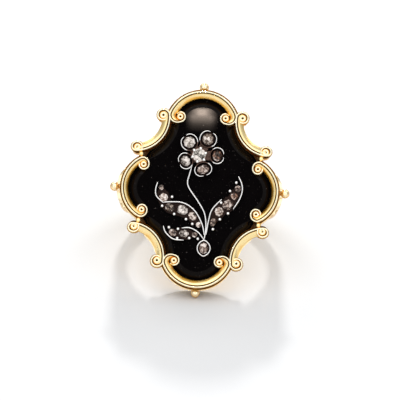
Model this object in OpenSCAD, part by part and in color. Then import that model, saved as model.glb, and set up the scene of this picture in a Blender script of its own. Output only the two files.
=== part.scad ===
// Onyx ring with a scrolled gold frame and a diamond flower spray
// Millimetres. The head is drawn face up, and then the whole ring is laid down on its side.
// In the head's own frame x runs across the finger, y along it and z out of the face,
// from the middle of the tray's floor, which the onyx lies on.

/* [Ring size] */
// Radius of the finger hole
finger_r = 8.6; // [8.2:0.05:9]
// Thickness of the hoop at the middle of its width
hoop_t = 1.45; // [1.2:0.05:1.6]
// Width of the hoop at its back
hoop_back_w = 2.6; // [2:0.1:4]
// Depth worn off the hoop's back, which is slightly flat
hoop_worn = 0.24; // [0.2:0.02:0.3]
// Width of the hoop at its sides, where the shoulders begin
hoop_side_w = 4.6; // [4:0.1:5.4]
// Width of the shoulders under the head
shoulder_w = 6.4; // [5.6:0.1:7]
// Radius of the hoop's domed outside, across its width
hoop_dome_r = 8; // [6:0.5:9]

/* [Head outline] */
// Distance of the top and bottom lobes' centres from the head's middle
long_lobe_at = 7.45; // [7.4:0.05:7.5]
// Radius of the top and bottom lobes, over the scroll's raised rim
long_lobe_r = 4.45; // [4.4:0.05:4.5]
// Distance of the side lobes' centres from the head's middle
side_lobe_at = 5.3; // [5.25:0.05:5.35]
// Radius of the side lobes, over the scroll's raised rim
side_lobe_r = 4.15; // [4.1:0.05:4.2]
// Distance of the hollow arcs' centres from the long axis
hollow_x = 8.05; // [8:0.05:8.1]
// Distance of the hollow arcs' centres from the cross axis
hollow_y = 8.4; // [8.35:0.05:8.45]
// Radius of the hollow arcs, to the onyx side of the scroll's raised rim
hollow_r = 4.2; // [4.15:0.05:4.25]

/* [Head depth] */
// Thickness of the tray's floor
floor_t = 0.6; // [0.5:0.05:0.8]
// Height of the tray's side wall above its floor
wall_h = 1.8; // [1.7:0.05:1.85]
// Thickness of the onyx
onyx_t = 2.27; // [2.2:0.01:2.4]
// Width of the bevel round the onyx, as seen inside the frame
bevel_w = 0.75; // [0.6:0.05:0.9]
// Height of the bevel round the onyx
bevel_h = 0.5; // [0.45:0.05:0.6]
// Height of the scrolls' rims above the tray's floor
scroll_top = 2.8; // [2.7:0.05:3]

/* [Scrolls] */
// Width of a scroll's raised rim
rim_w = 0.3; // [0.26:0.01:0.34]
// Width of the groove beside the rim
groove_w = 0.1; // [0.08:0.01:0.12]
// Width of the sloping band of the top and bottom scrolls
long_band_w = 0.62; // [0.56:0.01:0.64]
// Width of the sloping band of the side scrolls
side_band_w = 0.5; // [0.46:0.01:0.54]
// Width of the sloping band of the hollow scrolls
hollow_band_w = 0.66; // [0.6:0.01:0.68]
// Radius of a finial's ball
finial_r = 0.5; // [0.45:0.01:0.55]

/* [Spray] */
// Thickness of the silver sheet under the stones
sheet_t = 0.2; // [0.15:0.01:0.25]
// Height of the silver wires
wire_h = 0.5; // [0.45:0.01:0.6]
// Width of the silver wires
wire_w = 0.24; // [0.2:0.01:0.28]
// Radius of the silver grains that hold the leaves' stones
grain_r = 0.19; // [0.17:0.01:0.22]
// Height that the flower stands above the leaves
flower_lift = 0.22; // [0.15:0.01:0.3]

/* [Hidden] */
$fn = 64;
gap = 0.03;
over = 1;

// The hoop
hoop_r = finger_r + hoop_t;
hole_under = 0.1;
hoop_z = -floor_t - hole_under - finger_r;
hoop_widest = hoop_r - hoop_dome_r;
ledge_out = 0.2;

// The ring lies on the tray's lower end and the straight edge of the hoop's worn back, leaning back
// this far. Points on its middle plane are [along the finger, out of the face], then [back, up] as
// it lies
back_y = hoop_back_w / 2;
back_z = hoop_z - hoop_r + hoop_worn;
end_y = long_lobe_at + long_lobe_r + ledge_out;
rest_lean = atan2(end_y - back_y, -floor_t - back_z);
function laid(p) =
    [p.x * sin(rest_lean) - p.y * cos(rest_lean), p.x * cos(rest_lean) + p.y * sin(rest_lean)];
front_y = long_lobe_at + long_lobe_r - rim_w / 4;
rest_back = -(laid([back_y, back_z]) + laid([-front_y, scroll_top])).x / 2;
rest_up = -laid([-end_y, -floor_t]).y;

// The volutes' centres: those of the lobes lie inside, over the onyx, and the others outside
long_volute = [2.72, 8.66];
side_volute = [6.86, 2.72];
hollow_volute_top = [4.76, 8.74];
hollow_volute_side = [7.68, 4.76];
inner_volute_r = 0.78;
outer_volute_r = 0.84;

// Each scroll's line: steps of its arc's half, steps and turn of its coil, the turns by which the
// line has closed in and the band has narrowed, and the line's end and the eye in its volute
arc_steps = 6;
coil_steps = 9;
coil_turn = 225;
lead_turn = 130;
band_turn = 180;
coil_end_r = 0.5;
eye_r = 0.16;
groove_h = 0.3;
step_up = 0.03;
scroll_base = wall_h + gap;
rim_foot = 0.15;
rim_foot_h = 0.22;
rim_foot_turn = 60;
edge_h = 0.2;
link_at = [7.2, 4.0];
link_r = 0.42;

// The finials: balls on two short strands, out of the tray's wall
long_finial_at = 12.45;
side_finial_at = 10.3;
finial_z = 1.2;
strand_r = 0.15;
strand_l = 0.9;
strand_splay = 20;

// The tray: its ledge, its wall and the posts under the outer volutes
ledge_h = 0.3;
ledge_hollow_r = hollow_r - 1.15;
wall_hollow_r = hollow_r - 0.85;
post_r = outer_volute_r - 0.15;

// Corners of the block that joins the four lobes, for the onyx and for the tray's outside
onyx_block = [[3.85, 8.05], [6.6, 3.8]];
tray_block = [[4.6, 8.3], [7.3, 4.5]];

// The onyx reaches this far under the scrolls, beyond the edge that shows
tuck = 0.22;
long_onyx_r = long_lobe_r - rim_w - groove_w - long_band_w + tuck;
side_onyx_r = side_lobe_r - rim_w - groove_w - side_band_w + tuck;
hollow_onyx_r = hollow_r - 0.1;
bevel_out = bevel_w + tuck;
bevel_drop = bevel_h * bevel_out / bevel_w;

// Heights of the spray and of its stones' undersides
spray_z = onyx_t + 2 * gap;
leaf_stone_z = spray_z + sheet_t + gap;
petal_stone_z = leaf_stone_z + flower_lift;
center_stone_z = petal_stone_z + 0.3;
stone_sides = 8;
girdle_h = 0.12;
seat_gap = 0.05;

// The silver: its wires, collets and grains start inside the sheet that joins them
inside_z = spray_z + sheet_t / 2;
stem_w = wire_w * 1.1;
strip_out = 0.03;
sheet_out = 0.26;
strap_r = 0.35;
collet_out = 0.28;
collet_h = 0.27;
collet_steps = 16;
collet_notch = 14;

// Stones: [x, y, width, length, turn], with a petal's width running out from the flower
PETALS = [
    [-1.49, 5.58, 1.38, 1.40, 129],
    [0.74, 6.05, 1.40, 1.42, 63],
    [1.91, 4.10, 1.10, 1.32, 1],
    [0.30, 2.38, 1.08, 1.46, -71],
    [-1.86, 3.31, 1.12, 1.34, 205],
];
FLOWER_CENTER = [-0.27, 4.07, 1.66, 1.66, 0];
BUD = [0.77, -7.05, 1.05, 1.40, 0];
LEFT_LEAF = [
    [-4.61, 0.03, 0.62, 0.66, 0],
    [-4.32, -1.12, 1.18, 1.08, -50],
    [-3.49, -2.32, 1.20, 0.95, -15],
    [-1.97, -2.58, 1.40, 1.18, -20],
    [-0.73, -3.25, 1.15, 0.92, -45],
    [0.05, -4.27, 0.68, 0.68, 0],
];
RIGHT_LEAF = [
    [4.54, 0.26, 0.76, 0.82, 0],
    [4.16, -0.66, 0.82, 0.94, 40],
    [3.44, -1.74, 1.38, 1.24, 45],
    [2.42, -2.58, 1.14, 1.06, 50],
    [1.74, -3.91, 1.08, 0.76, 65],
];
LOW_LEAF = [
    [-3.03, -5.34, 1.00, 0.82, -30],
    [-1.66, -5.39, 1.18, 0.95, 0],
    [-0.38, -5.48, 0.66, 0.66, 0],
];
LEAVES = [LEFT_LEAF, RIGHT_LEAF, LOW_LEAF];
LEAF_STONES = [for (leaf = LEAVES) each leaf];

// The wires' middle lines, each a smooth curve through a few points
STEM = [[-1.0, 3.1], [-1.32, 1.7], [-1.5, 0.9], [-1.3, 0.1], [-0.2, -1.4], [0.63, -2.73],
    [0.9, -4.0], [0.9, -5.1], [0.76, -6.05]];
LEAF_WIRES = [
    [[-5.08, 0.64], [-5.29, -0.24], [-5.13, -1.06], [-4.29, -1.8]],
    [[-4.29, -1.75], [-3.4, -1.66], [-1.9, -1.72], [-0.54, -2.56], [0.41, -4.08], [0.78, -5.5]],
    [[4.55, 1.75], [4.98, 0.9], [5.09, 0.0], [4.8, -1.0], [4.08, -2.23]],
    [[2.68, -1.07], [1.57, -2.37], [1.19, -3.83], [0.98, -5.4]],
    [[-4.18, -4.58], [-3.85, -5.35], [-2.93, -6.09], [-1.67, -6.18]],
    [[-1.94, -4.74], [-1.0, -4.68], [0.0, -5.15], [0.76, -6.05]],
];
// Middles of the grains
GRAINS = [
    [-3.28, -1.05], [-4.42, -2.18], [-2.94, -3.1], [-1.5, -3.66], [-0.72, -4.2],
    [4.34, 0.99], [3.62, -0.05], [2.62, -1.5], [3.5, -2.74], [2.55, -3.5], [1.77, -4.72],
    [-3.5, -4.72], [-2.4, -4.86], [-1.01, -5.91], [-2.45, -5.98], [0.02, -5.95],
];
bud_half = [0.86, 1.06];

function wrap(a) = a - 360 * round(a / 360);
function smooth(t) = t * t * (3 - 2 * t);
function mix(a, b, t) = a + (b - a) * t;
function direction(a) = [cos(a), sin(a)];

// Distance of a rim from its volute's centre, after a turn round it
function coil_r(turn, start, end) =
    turn < lead_turn
        ? mix(start, end, smooth(turn / lead_turn))
        : mix(end, coil_end_r, (turn - lead_turn) / (coil_turn - lead_turn));

// Half of a scroll's rim, from the middle of its arc and round its volute:
// each station is [point, outward direction, turn wound round the volute]
function half_scroll(c, r, middle, volute, volute_r) =
    let (
        to_volute = volute - c,
        end = atan2(to_volute.y, to_volute.x),
        bend = wrap(end - middle),
        start = r - norm(to_volute)
    )
    concat(
        [for (i = [0 : arc_steps - 1])
            let (out = direction(middle + bend * i / arc_steps))
            [c + r * out, out, 0]],
        [for (i = [0 : coil_steps])
            let (turn = coil_turn * i / coil_steps, out = direction(end + sign(bend) * turn))
            [volute + coil_r(turn, start, volute_r - rim_w / 2) * out, out, turn]]);

// Points of a smooth curve through the given points, and the direction to its right at one
function curve_point(a, b, c, d, t) =
    0.5 * (2 * b + (c - a) * t + (2 * a - 5 * b + 4 * c - d) * t * t + (3 * b - a - 3 * c + d) * t * t * t);
function curve(points, steps) =
    let (n = len(points))
    [for (i = [0 : n - 2], k = [0 : (i == n - 2 ? steps : steps - 1)])
        curve_point(points[max(i - 1, 0)], points[i], points[i + 1], points[min(i + 2, n - 1)],
            k / steps)];
function right_of(points, i) =
    let (along = points[min(i + 1, len(points) - 1)] - points[max(i - 1, 0)])
    [along.y, -along.x] / norm(along);

// A section of [outward, height] points, stood at one place of a line
function stand(point, out, section) =
    [for (s = section) [point.x + out.x * s.x, point.y + out.y * s.x, s.y]];

// A solid through rings of points, all with the same number of points
module loft(rings) {
    n = len(rings[0]);
    m = len(rings);
    sides = [for (i = [0 : m - 2], j = [0 : n - 1])
        let (k = (j + 1) % n)
        [i * n + j, i * n + k, (i + 1) * n + k, (i + 1) * n + j]];
    near = [for (j = [n - 1 : -1 : 0]) j];
    far = [for (j = [0 : n - 1]) (m - 1) * n + j];
    polyhedron([for (ring = rings) each ring], concat(sides, [near, far]), convexity = 8);
}

module all_four() {
    for (x = [0, 1], y = [0, 1])
        mirror([x, 0, 0])
            mirror([0, y, 0])
                children();
}

// Lays the ring on its side
module at_rest() {
    translate([0, rest_back, rest_up])
        rotate([90 - rest_lean, 0, 0])
            children();
}

// The block that joins the four lobes, from its two corners in one quarter
module block(corners) {
    a = corners[0];
    b = corners[1];
    polygon([a, b, [b.x, -b.y], [a.x, -a.y], -a, -b, [-b.x, b.y], [-a.x, a.y]]);
}

// The block's corners, moved out by a margin
function wider(corners, margin) = [for (corner = corners) corner + [margin, margin]];

// The head's outline: four lobes joined by the block, less the hollow arcs
module outline(long_r, side_r, arc_r, corners) {
    difference() {
        union() {
            for (way = [-1, 1]) {
                translate([0, way * long_lobe_at])
                    circle(r = long_r);
                translate([way * side_lobe_at, 0])
                    circle(r = side_r);
            }
            block(corners);
        }
        all_four()
            translate([hollow_x, hollow_y])
                circle(r = arc_r);
    }
}

// The hoop and shoulders, before the finger hole is cut
module hoop_blank() {
    intersection() {
        union() {
            translate([0, 0, hoop_z])
                rotate([-90, 0, 0])
                    rotate_extrude(angle = 180)
                        intersection() {
                            translate([finger_r - hoop_t, -shoulder_w])
                                square([2 * hoop_t, 2 * shoulder_w]);
                            translate([hoop_widest, 0])
                                circle(r = hoop_dome_r);
                        }
            translate([0, 0, hoop_z])
                linear_extrude(-hoop_z)
                    for (way = [-1, 1])
                        translate([way * hoop_widest, 0])
                            circle(r = hoop_dome_r);
        }
        rotate([90, 0, 90])
            linear_extrude(4 * hoop_r, center = true)
                polygon([
                    [back_y, back_z], [hoop_side_w / 2, hoop_z], [shoulder_w / 2, 0],
                    [-shoulder_w / 2, 0], [-hoop_side_w / 2, hoop_z], [-back_y, back_z],
                ]);
    }
}

module finial(distance, turn) {
    rotate([0, 0, turn])
        translate([distance, 0, finial_z]) {
            sphere(r = finial_r);
            for (way = [-1, 1])
                rotate([0, -90, way * strand_splay])
                    cylinder(r = strand_r, h = finial_r + strand_l);
        }
}

// The tray's floor with its ledge, its wall and its posts, before the pocket is cut
module tray_blank() {
    translate([0, 0, -floor_t])
        linear_extrude(floor_t + ledge_h)
            outline(long_lobe_r + ledge_out, side_lobe_r + ledge_out, ledge_hollow_r, tray_block);
    translate([0, 0, -floor_t])
        linear_extrude(floor_t + wall_h)
            outline(long_lobe_r, side_lobe_r, wall_hollow_r, tray_block);
    all_four()
        for (at = [hollow_volute_top, hollow_volute_side])
            translate([at.x, at.y, -floor_t])
                cylinder(r = post_r, h = floor_t + wall_h);
}

module ring_mount() {
    color("goldenrod")
        at_rest()
            difference() {
                union() {
                    hoop_blank();
                    tray_blank();
                    finial(long_finial_at, 90);
                    finial(long_finial_at, -90);
                    finial(side_finial_at, 0);
                    finial(side_finial_at, 180);
                }
                translate([0, 0, hoop_z])
                    rotate([90, 0, 0])
                        cylinder(r = finger_r, h = 4 * shoulder_w, center = true);
                linear_extrude(wall_h + over)
                    outline(long_onyx_r + gap, side_onyx_r + gap, hollow_onyx_r - gap,
                        wider(onyx_block, gap));
            }
}

// A scroll's section: foot, rim, groove and sloping band
function scroll_section(turn, band_w) =
    let (
        half = rim_w / 2,
        foot = rim_foot * max(0, 1 - turn / rim_foot_turn),
        fade = smooth(min(1, turn / band_turn)),
        band = -half - groove_w,
        w = band_w * mix(1, 0.15, fade),
        low = mix(scroll_base + edge_h, scroll_top - groove_h, fade)
    )
    [[band - w, scroll_base], [half + foot, scroll_base], [half + foot, scroll_base + rim_foot_h],
        [half * 0.5, scroll_top], [-half * 0.5, scroll_top],
        [-half - groove_w / 2, scroll_top - groove_h], [band, scroll_top - 0.08],
        [band - w * 0.45, scroll_top - edge_h], [band - w, low]];

// The disc under a coil and the eye in its middle
module volute(at, r) {
    translate([at.x, at.y, scroll_base + step_up]) {
        hull() {
            cylinder(r = r - rim_w * 0.45, h = step_up, $fn = 10);
            cylinder(r = r - rim_w * 0.7, h = scroll_top - groove_h - scroll_base, $fn = 10);
        }
        cylinder(r1 = eye_r, r2 = eye_r * 0.7, h = scroll_top - scroll_base - edge_h, $fn = 10);
    }
}

// A scroll with its arc's centre, radius and middle direction, and a volute on either side
module scroll(c, r, middle, first_volute, second_volute, volute_r, band_w) {
    first = half_scroll(c, r, middle, first_volute, volute_r);
    second = half_scroll(c, r, middle, second_volute, volute_r);
    line = concat([for (i = [len(first) - 1 : -1 : 1]) first[i]], second);
    loft([for (s = line) stand(s[0], s[1], scroll_section(s[2], band_w))]);
    volute(first_volute, volute_r);
    volute(second_volute, volute_r);
}

// A disc with a bevel, which may go on up beyond the onyx's face
module bevelled_disc(r, rise) {
    cylinder(r = r, h = onyx_t - bevel_drop);
    translate([0, 0, onyx_t - bevel_drop])
        cylinder(r1 = r, r2 = r - bevel_out * (1 + rise / bevel_drop), h = bevel_drop + rise);
}

// The onyx, grown in plan by a margin
module onyx_body(margin = 0) {
    arc_r = hollow_onyx_r - margin;
    difference() {
        union() {
            for (way = [-1, 1]) {
                translate([0, way * long_lobe_at, 0])
                    bevelled_disc(long_onyx_r + margin, margin);
                translate([way * side_lobe_at, 0, 0])
                    bevelled_disc(side_onyx_r + margin, margin);
            }
            linear_extrude(onyx_t)
                block(wider(onyx_block, margin));
        }
        all_four()
            translate([hollow_x, hollow_y, 0]) {
                cylinder(r = arc_r, h = 3 * onyx_t, center = true);
                translate([0, 0, onyx_t - bevel_drop])
                    cylinder(r1 = arc_r, r2 = arc_r + 2 * bevel_out, h = 2 * bevel_drop);
            }
    }
}

module onyx() {
    color("black")
        at_rest()
            translate([0, 0, gap])
                onyx_body();
}

module scroll_border() {
    color("gold")
        at_rest()
            difference() {
                union() {
                    for (way = [0, 1]) {
                        mirror([0, way, 0])
                            scroll([0, long_lobe_at], long_lobe_r - rim_w / 2, 90, long_volute,
                                [-long_volute.x, long_volute.y], inner_volute_r, long_band_w);
                        mirror([way, 0, 0])
                            scroll([side_lobe_at, 0], side_lobe_r - rim_w / 2, 0,
                                [side_volute.x, -side_volute.y], side_volute, inner_volute_r,
                                side_band_w);
                    }
                    all_four() {
                        translate([0, 0, 2 * step_up])
                            scroll([hollow_x, hollow_y], hollow_r - rim_w / 2, 225, hollow_volute_top,
                                hollow_volute_side, outer_volute_r, hollow_band_w);
                        translate([link_at.x, link_at.y, scroll_base + step_up])
                            cylinder(r1 = link_r, r2 = link_r * 0.6, h = groove_h * 2, $fn = 10);
                    }
                }
                translate([0, 0, 2 * gap])
                    onyx_body(gap);
            }
}

// Points round a stone's outline
function facet_ring(w, l, count, first) =
    [for (i = [0 : count - 1]) let (a = 360 * (i + first) / count) [w * cos(a), l * sin(a)]];

// A rose-cut stone: girdle, a ring of facets and a table, grown by a margin
module rose(stone, z, margin = 0) {
    w = stone[2] / 2 + margin;
    l = stone[3] / 2 + margin;
    h = 0.16 * (stone[2] + stone[3]);
    translate([stone[0], stone[1], z - margin])
        rotate([0, 0, stone[4]])
            hull() {
                linear_extrude(girdle_h + margin)
                    polygon(facet_ring(w, l, stone_sides, 0));
                linear_extrude(h * 0.75 + margin)
                    polygon(0.68 * facet_ring(w, l, stone_sides, 0.5));
                linear_extrude(h + margin)
                    polygon(0.3 * facet_ring(w, l, stone_sides / 2, 0));
            }
}

module seated_stone(stone, z) {
    color("lightgray")
        at_rest()
            rose(stone, z);
}

// A wire along a curve, with its top rounded
module wire(points, w) {
    line = curve(points, 2);
    shoulder_z = spray_z + wire_h * 0.75;
    section = [[-w / 2, inside_z], [w / 2, inside_z], [w * 0.4, shoulder_z], [0, spray_z + wire_h],
        [-w * 0.4, shoulder_z]];
    loft([for (i = [0 : len(line) - 1]) stand(line[i], right_of(line, i), section)]);
}

module dot(at, r) {
    translate([at[0], at[1]])
        circle(r = r, $fn = 8);
}

// A strip of sheet between two places
module strap(a, b, r) {
    hull() {
        dot(a, r);
        dot(b, r);
    }
}

// The strip of sheet that a wire stands on
module wire_strip(points, w) {
    line = curve(points, 2);
    for (i = [0 : len(line) - 2])
        strap(line[i], line[i + 1], w / 2 + strip_out);
}

function seat_r(stone) = min(stone[2], stone[3]) / 2 + sheet_out;
function nearest(at, stones) =
    let (far = [for (s = stones) norm([s[0], s[1]] - at)])
    stones[search(min(far), far)[0]];

// Middle line of the collet round a petal's stone, with a dip at its outermost point
function collet_line(stone) =
    let (half = [stone[2] / 2 + collet_out, stone[3] / 2 + collet_out])
    [for (i = [0 : collet_steps])
        let (
            a = mix(collet_notch, 360 - collet_notch, i / collet_steps),
            dip = 1 - 0.13 * exp(-pow(wrap(a) / 22, 2))
        )
        dip * [half.x * cos(a), half.y * sin(a)]];

module petal_floor(stone, out) {
    translate([stone[0], stone[1]])
        rotate(stone[4])
            offset(delta = out)
                polygon(collet_line(stone));
    strap(stone, FLOWER_CENTER, strap_r + out);
}

// The bud's outline, pointed at both ends
module bud_outline(scale) {
    steps = 20;
    translate([BUD[0], BUD[1]])
        polygon([for (i = [0 : steps - 1])
            let (a = 360 * i / steps)
            scale * [bud_half.x * sin(a) * pow(abs(sin(a)), 0.4), bud_half.y * cos(a)]]);
}

// The thin sheet under the whole spray
module spray_sheet() {
    translate([0, 0, spray_z])
        linear_extrude(sheet_t) {
            wire_strip(STEM, stem_w);
            for (points = LEAF_WIRES)
                wire_strip(points, wire_w);
            for (leaf = LEAVES, i = [0 : len(leaf) - 2])
                hull() {
                    dot(leaf[i], seat_r(leaf[i]));
                    dot(leaf[i + 1], seat_r(leaf[i + 1]));
                }
            for (at = GRAINS)
                strap(at, nearest(at, LEAF_STONES), grain_r + strip_out);
            for (stone = PETALS)
                petal_floor(stone, 0.12);
            bud_outline(1);
        }
}

module grain(at) {
    translate([at.x, at.y, inside_z])
        cylinder(r1 = grain_r, r2 = grain_r * 0.6, h = wire_h - sheet_t / 2, $fn = 7);
}

// An open collet round a petal's stone
module collet(stone) {
    line = collet_line(stone);
    top = petal_stone_z + collet_h;
    section = [[-0.09, inside_z], [0.1, inside_z], [0.1, top - 0.1], [0.02, top], [-0.07, top - 0.06]];
    translate([stone[0], stone[1], 0])
        rotate([0, 0, stone[4]])
            loft([for (i = [0 : collet_steps]) stand(line[i], right_of(line, i), section)]);
}

module bud_collet() {
    translate([0, 0, inside_z])
        linear_extrude(wire_h - sheet_t / 2)
            difference() {
                bud_outline(0.97);
                bud_outline(0.76);
            }
}

// The flower's middle: a short drum for the centre stone and the claws that hold it
module flower_middle() {
    count = 6;
    drum_r = FLOWER_CENTER[2] / 2;
    claw_r = 0.15;
    claw_h = 0.25;
    translate([FLOWER_CENTER[0], FLOWER_CENTER[1], inside_z]) {
        cylinder(r = drum_r, h = center_stone_z - gap - inside_z, $fn = 14);
        for (i = [0 : count - 1])
            rotate([0, 0, 360 * (i + 0.3) / count])
                hull() {
                    translate([drum_r, 0, sheet_t])
                        cylinder(r = claw_r, h = sheet_t, $fn = 6);
                    translate([drum_r * 0.93, 0, center_stone_z + claw_r - inside_z])
                        cylinder(r1 = claw_r, r2 = claw_r * 0.6, h = claw_h, $fn = 6);
                }
    }
}

module silver_spray() {
    color("silver")
        at_rest()
            difference() {
                union() {
                    spray_sheet();
                    wire(STEM, stem_w);
                    for (points = LEAF_WIRES)
                        wire(points, wire_w);
                    for (at = GRAINS)
                        grain(at);
                    translate([0, 0, inside_z])
                        linear_extrude(flower_lift + sheet_t / 2)
                            for (stone = PETALS)
                                petal_floor(stone, 0.04);
                    for (stone = PETALS)
                        collet(stone);
                    flower_middle();
                    bud_collet();
                }
                for (stone = PETALS)
                    rose(stone, petal_stone_z, seat_gap);
                for (stone = LEAF_STONES)
                    rose(stone, leaf_stone_z, seat_gap);
                rose(BUD, leaf_stone_z, seat_gap);
                rose(FLOWER_CENTER, center_stone_z, seat_gap);
            }
}

ring_mount();
scroll_border();
onyx();
silver_spray();
seated_stone(FLOWER_CENTER, center_stone_z);  // flower_center_diamond
seated_stone(BUD, leaf_stone_z);  // bud_diamond
for (i = [1 : len(PETALS)])
    seated_stone(PETALS[i - 1], petal_stone_z);
for (i = [1 : len(LEFT_LEAF)])
    seated_stone(LEFT_LEAF[i - 1], leaf_stone_z);
for (i = [1 : len(RIGHT_LEAF)])
    seated_stone(RIGHT_LEAF[i - 1], leaf_stone_z);
for (i = [1 : len(LOW_LEAF)])
    seated_stone(LOW_LEAF[i - 1], leaf_stone_z);
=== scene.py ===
"""Onyx ring: the fine shapes of its gold, onyx and silver, their finishes, the lights and the camera.

Everything is drawn in the head's own frame, in millimetres: x runs across the finger, y along it and z out
of the face, from the middle of the tray's floor. RestPose then lays each finished mesh down as the ring lies.
"""
import logging
import math
from collections.abc import Callable, Sequence
from dataclasses import dataclass, field
from enum import Enum

import bpy
from mathutils import Matrix, Vector


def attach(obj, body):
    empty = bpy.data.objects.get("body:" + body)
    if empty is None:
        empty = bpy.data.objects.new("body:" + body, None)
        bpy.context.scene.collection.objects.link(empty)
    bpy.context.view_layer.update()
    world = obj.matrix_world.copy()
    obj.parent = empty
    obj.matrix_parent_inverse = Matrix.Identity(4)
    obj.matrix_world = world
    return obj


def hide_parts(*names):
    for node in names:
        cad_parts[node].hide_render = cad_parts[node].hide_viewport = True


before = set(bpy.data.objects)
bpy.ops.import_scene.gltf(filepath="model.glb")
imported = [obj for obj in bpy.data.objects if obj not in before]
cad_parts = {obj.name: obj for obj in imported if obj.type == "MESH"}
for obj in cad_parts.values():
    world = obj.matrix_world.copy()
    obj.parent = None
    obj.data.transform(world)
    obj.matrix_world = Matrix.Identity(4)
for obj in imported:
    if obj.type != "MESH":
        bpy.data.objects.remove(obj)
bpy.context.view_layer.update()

LOG = logging.getLogger("onyx_ring")
MILLIMETRE = 0.001

Point = tuple[float, float]
Shaded = tuple[float, float, float]
Ring = list[Vector]
# How deep painted shade and patina lie at a sweep's point; below zero it is a painted highlight.
Shade = Callable[[int, int], float]


# Sizes


@dataclass(frozen=True)
class Sizes:
    """The ring's main sizes in millimetres, as the solids have them."""

    finger_r: float = 8.6
    hoop_t: float = 1.45
    hoop_back_w: float = 2.6
    hoop_side_w: float = 4.6
    shoulder_w: float = 6.4
    hoop_dome_r: float = 8.0
    hoop_worn: float = 0.24
    hole_under: float = 0.1
    long_lobe_at: float = 7.45
    long_lobe_r: float = 4.45
    side_lobe_at: float = 5.3
    side_lobe_r: float = 4.15
    hollow: Point = (8.05, 8.4)
    hollow_r: float = 4.2
    floor_t: float = 0.6
    wall_h: float = 1.8
    onyx_t: float = 2.27
    scroll_top: float = 2.8
    rim_w: float = 0.3
    inner_volute_r: float = 0.78
    outer_volute_r: float = 0.84
    hollow_volutes: tuple[Point, Point] = ((4.76, 8.74), (7.68, 4.76))
    ledge_out: float = 0.2
    gap: float = 0.03

    @property
    def scroll_base(self) -> float:
        """Height of the scrolls' underside."""
        return self.wall_h + self.gap

    @property
    def spray_z(self) -> float:
        """Height of the spray's underside."""
        return self.onyx_t + 2 * self.gap

    @property
    def end_y(self) -> float:
        """How far the tray reaches along the finger."""
        return self.long_lobe_at + self.long_lobe_r + self.ledge_out

    @property
    def hoop_r(self) -> float:
        """Radius over the hoop."""
        return self.finger_r + self.hoop_t

    @property
    def hoop_z(self) -> float:
        """Height of the finger hole's middle."""
        return -self.floor_t - self.hole_under - self.finger_r

    @property
    def hoop_widest(self) -> float:
        """Distance of the dome's centre from the hoop's middle."""
        return self.hoop_r - self.hoop_dome_r

    @property
    def back_z(self) -> float:
        """Height of the hoop's worn back."""
        return self.hoop_z - self.hoop_r + self.hoop_worn

    def dome_at(self, y: float) -> float:
        """Radius over the domed hoop at a distance across its width."""
        return self.hoop_widest + math.sqrt(self.hoop_dome_r**2 - y * y)

    def width_at(self, z: float) -> float:
        """Width of the hoop and shoulders at a height."""
        if z > self.hoop_z:
            return mix(self.hoop_side_w, self.shoulder_w, (z - self.hoop_z) / -self.hoop_z)
        return mix(self.hoop_side_w, self.hoop_back_w, (self.hoop_z - z) / (self.hoop_z - self.back_z))


SIZES = Sizes()

# The head's three other quarters: whether left and right, and top and bottom, change places
OTHER_QUARTERS = ((True, False), (False, True), (True, True))


def mix(a: float, b: float, t: float) -> float:
    """The value a share t of the way from a to b."""
    return a + (b - a) * t


def smooth(t: float) -> float:
    """A soft step from 0 to 1."""
    t = min(1.0, max(0.0, t))
    return t * t * (3 - 2 * t)


def direction(degrees: float) -> Vector:
    """The direction in plan at an angle from the x axis."""
    return Vector((math.cos(math.radians(degrees)), math.sin(math.radians(degrees))))


def wrap(degrees: float) -> float:
    """An angle brought to between -180 and 180 degrees."""
    return degrees - 360 * round(degrees / 360)


def smooth_curve(points: Sequence[Point], steps: int) -> list[Vector]:
    """Points of a smooth curve through the given points.

    Args:
        points: the points that the curve passes through.
        steps: how many steps each stretch between two points takes.

    Returns:
        The curve's points, in plan.
    """
    given = [Vector(p) for p in points]
    last = len(given) - 1
    line = []
    for i in range(last):
        a, b, c, d = given[max(i - 1, 0)], given[i], given[i + 1], given[min(i + 2, last)]
        for k in range(steps + (i == last - 1)):
            t = k / steps
            line.append(0.5 * (2 * b + (c - a) * t + (2 * a - 5 * b + 4 * c - d) * t**2
                               + (3 * b - a - 3 * c + d) * t**3))
    return line


def right_of(line: Sequence[Vector], i: int, closed: bool = False) -> Vector:
    """The direction to the right of a line at one of its points.

    Args:
        line: the line's points, in plan.
        i: which point.
        closed: whether the line's last point is followed by its first.

    Returns:
        A direction of length 1, in plan.
    """
    count = len(line)
    if closed:
        along = line[(i + 1) % count] - line[(i - 1) % count]
    else:
        along = line[min(i + 1, count - 1)] - line[max(i - 1, 0)]
    return Vector((along.y, -along.x)).normalized()


def arc(x: float, z: float, r: float, turns: Sequence[float]) -> list[Point]:
    """Points on an arc of a section.

    Args:
        x: its centre's place outward.
        z: its centre's height.
        r: its radius.
        turns: the points' angles from the outward direction, in degrees.

    Returns:
        The points, outward and up.
    """
    return [(x + r * direction(a).x, z + r * direction(a).y) for a in turns]


def laid_across(point: Vector, out: Vector, section: Sequence[Point]) -> Ring:
    """A section set up across a line.

    Args:
        point: the line's point, in plan.
        out: the section's outward direction there.
        section: the section's points, outward and up.

    Returns:
        The ring of points.
    """
    return [Vector((*(point + x * out), z)) for x, z in section]


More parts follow.
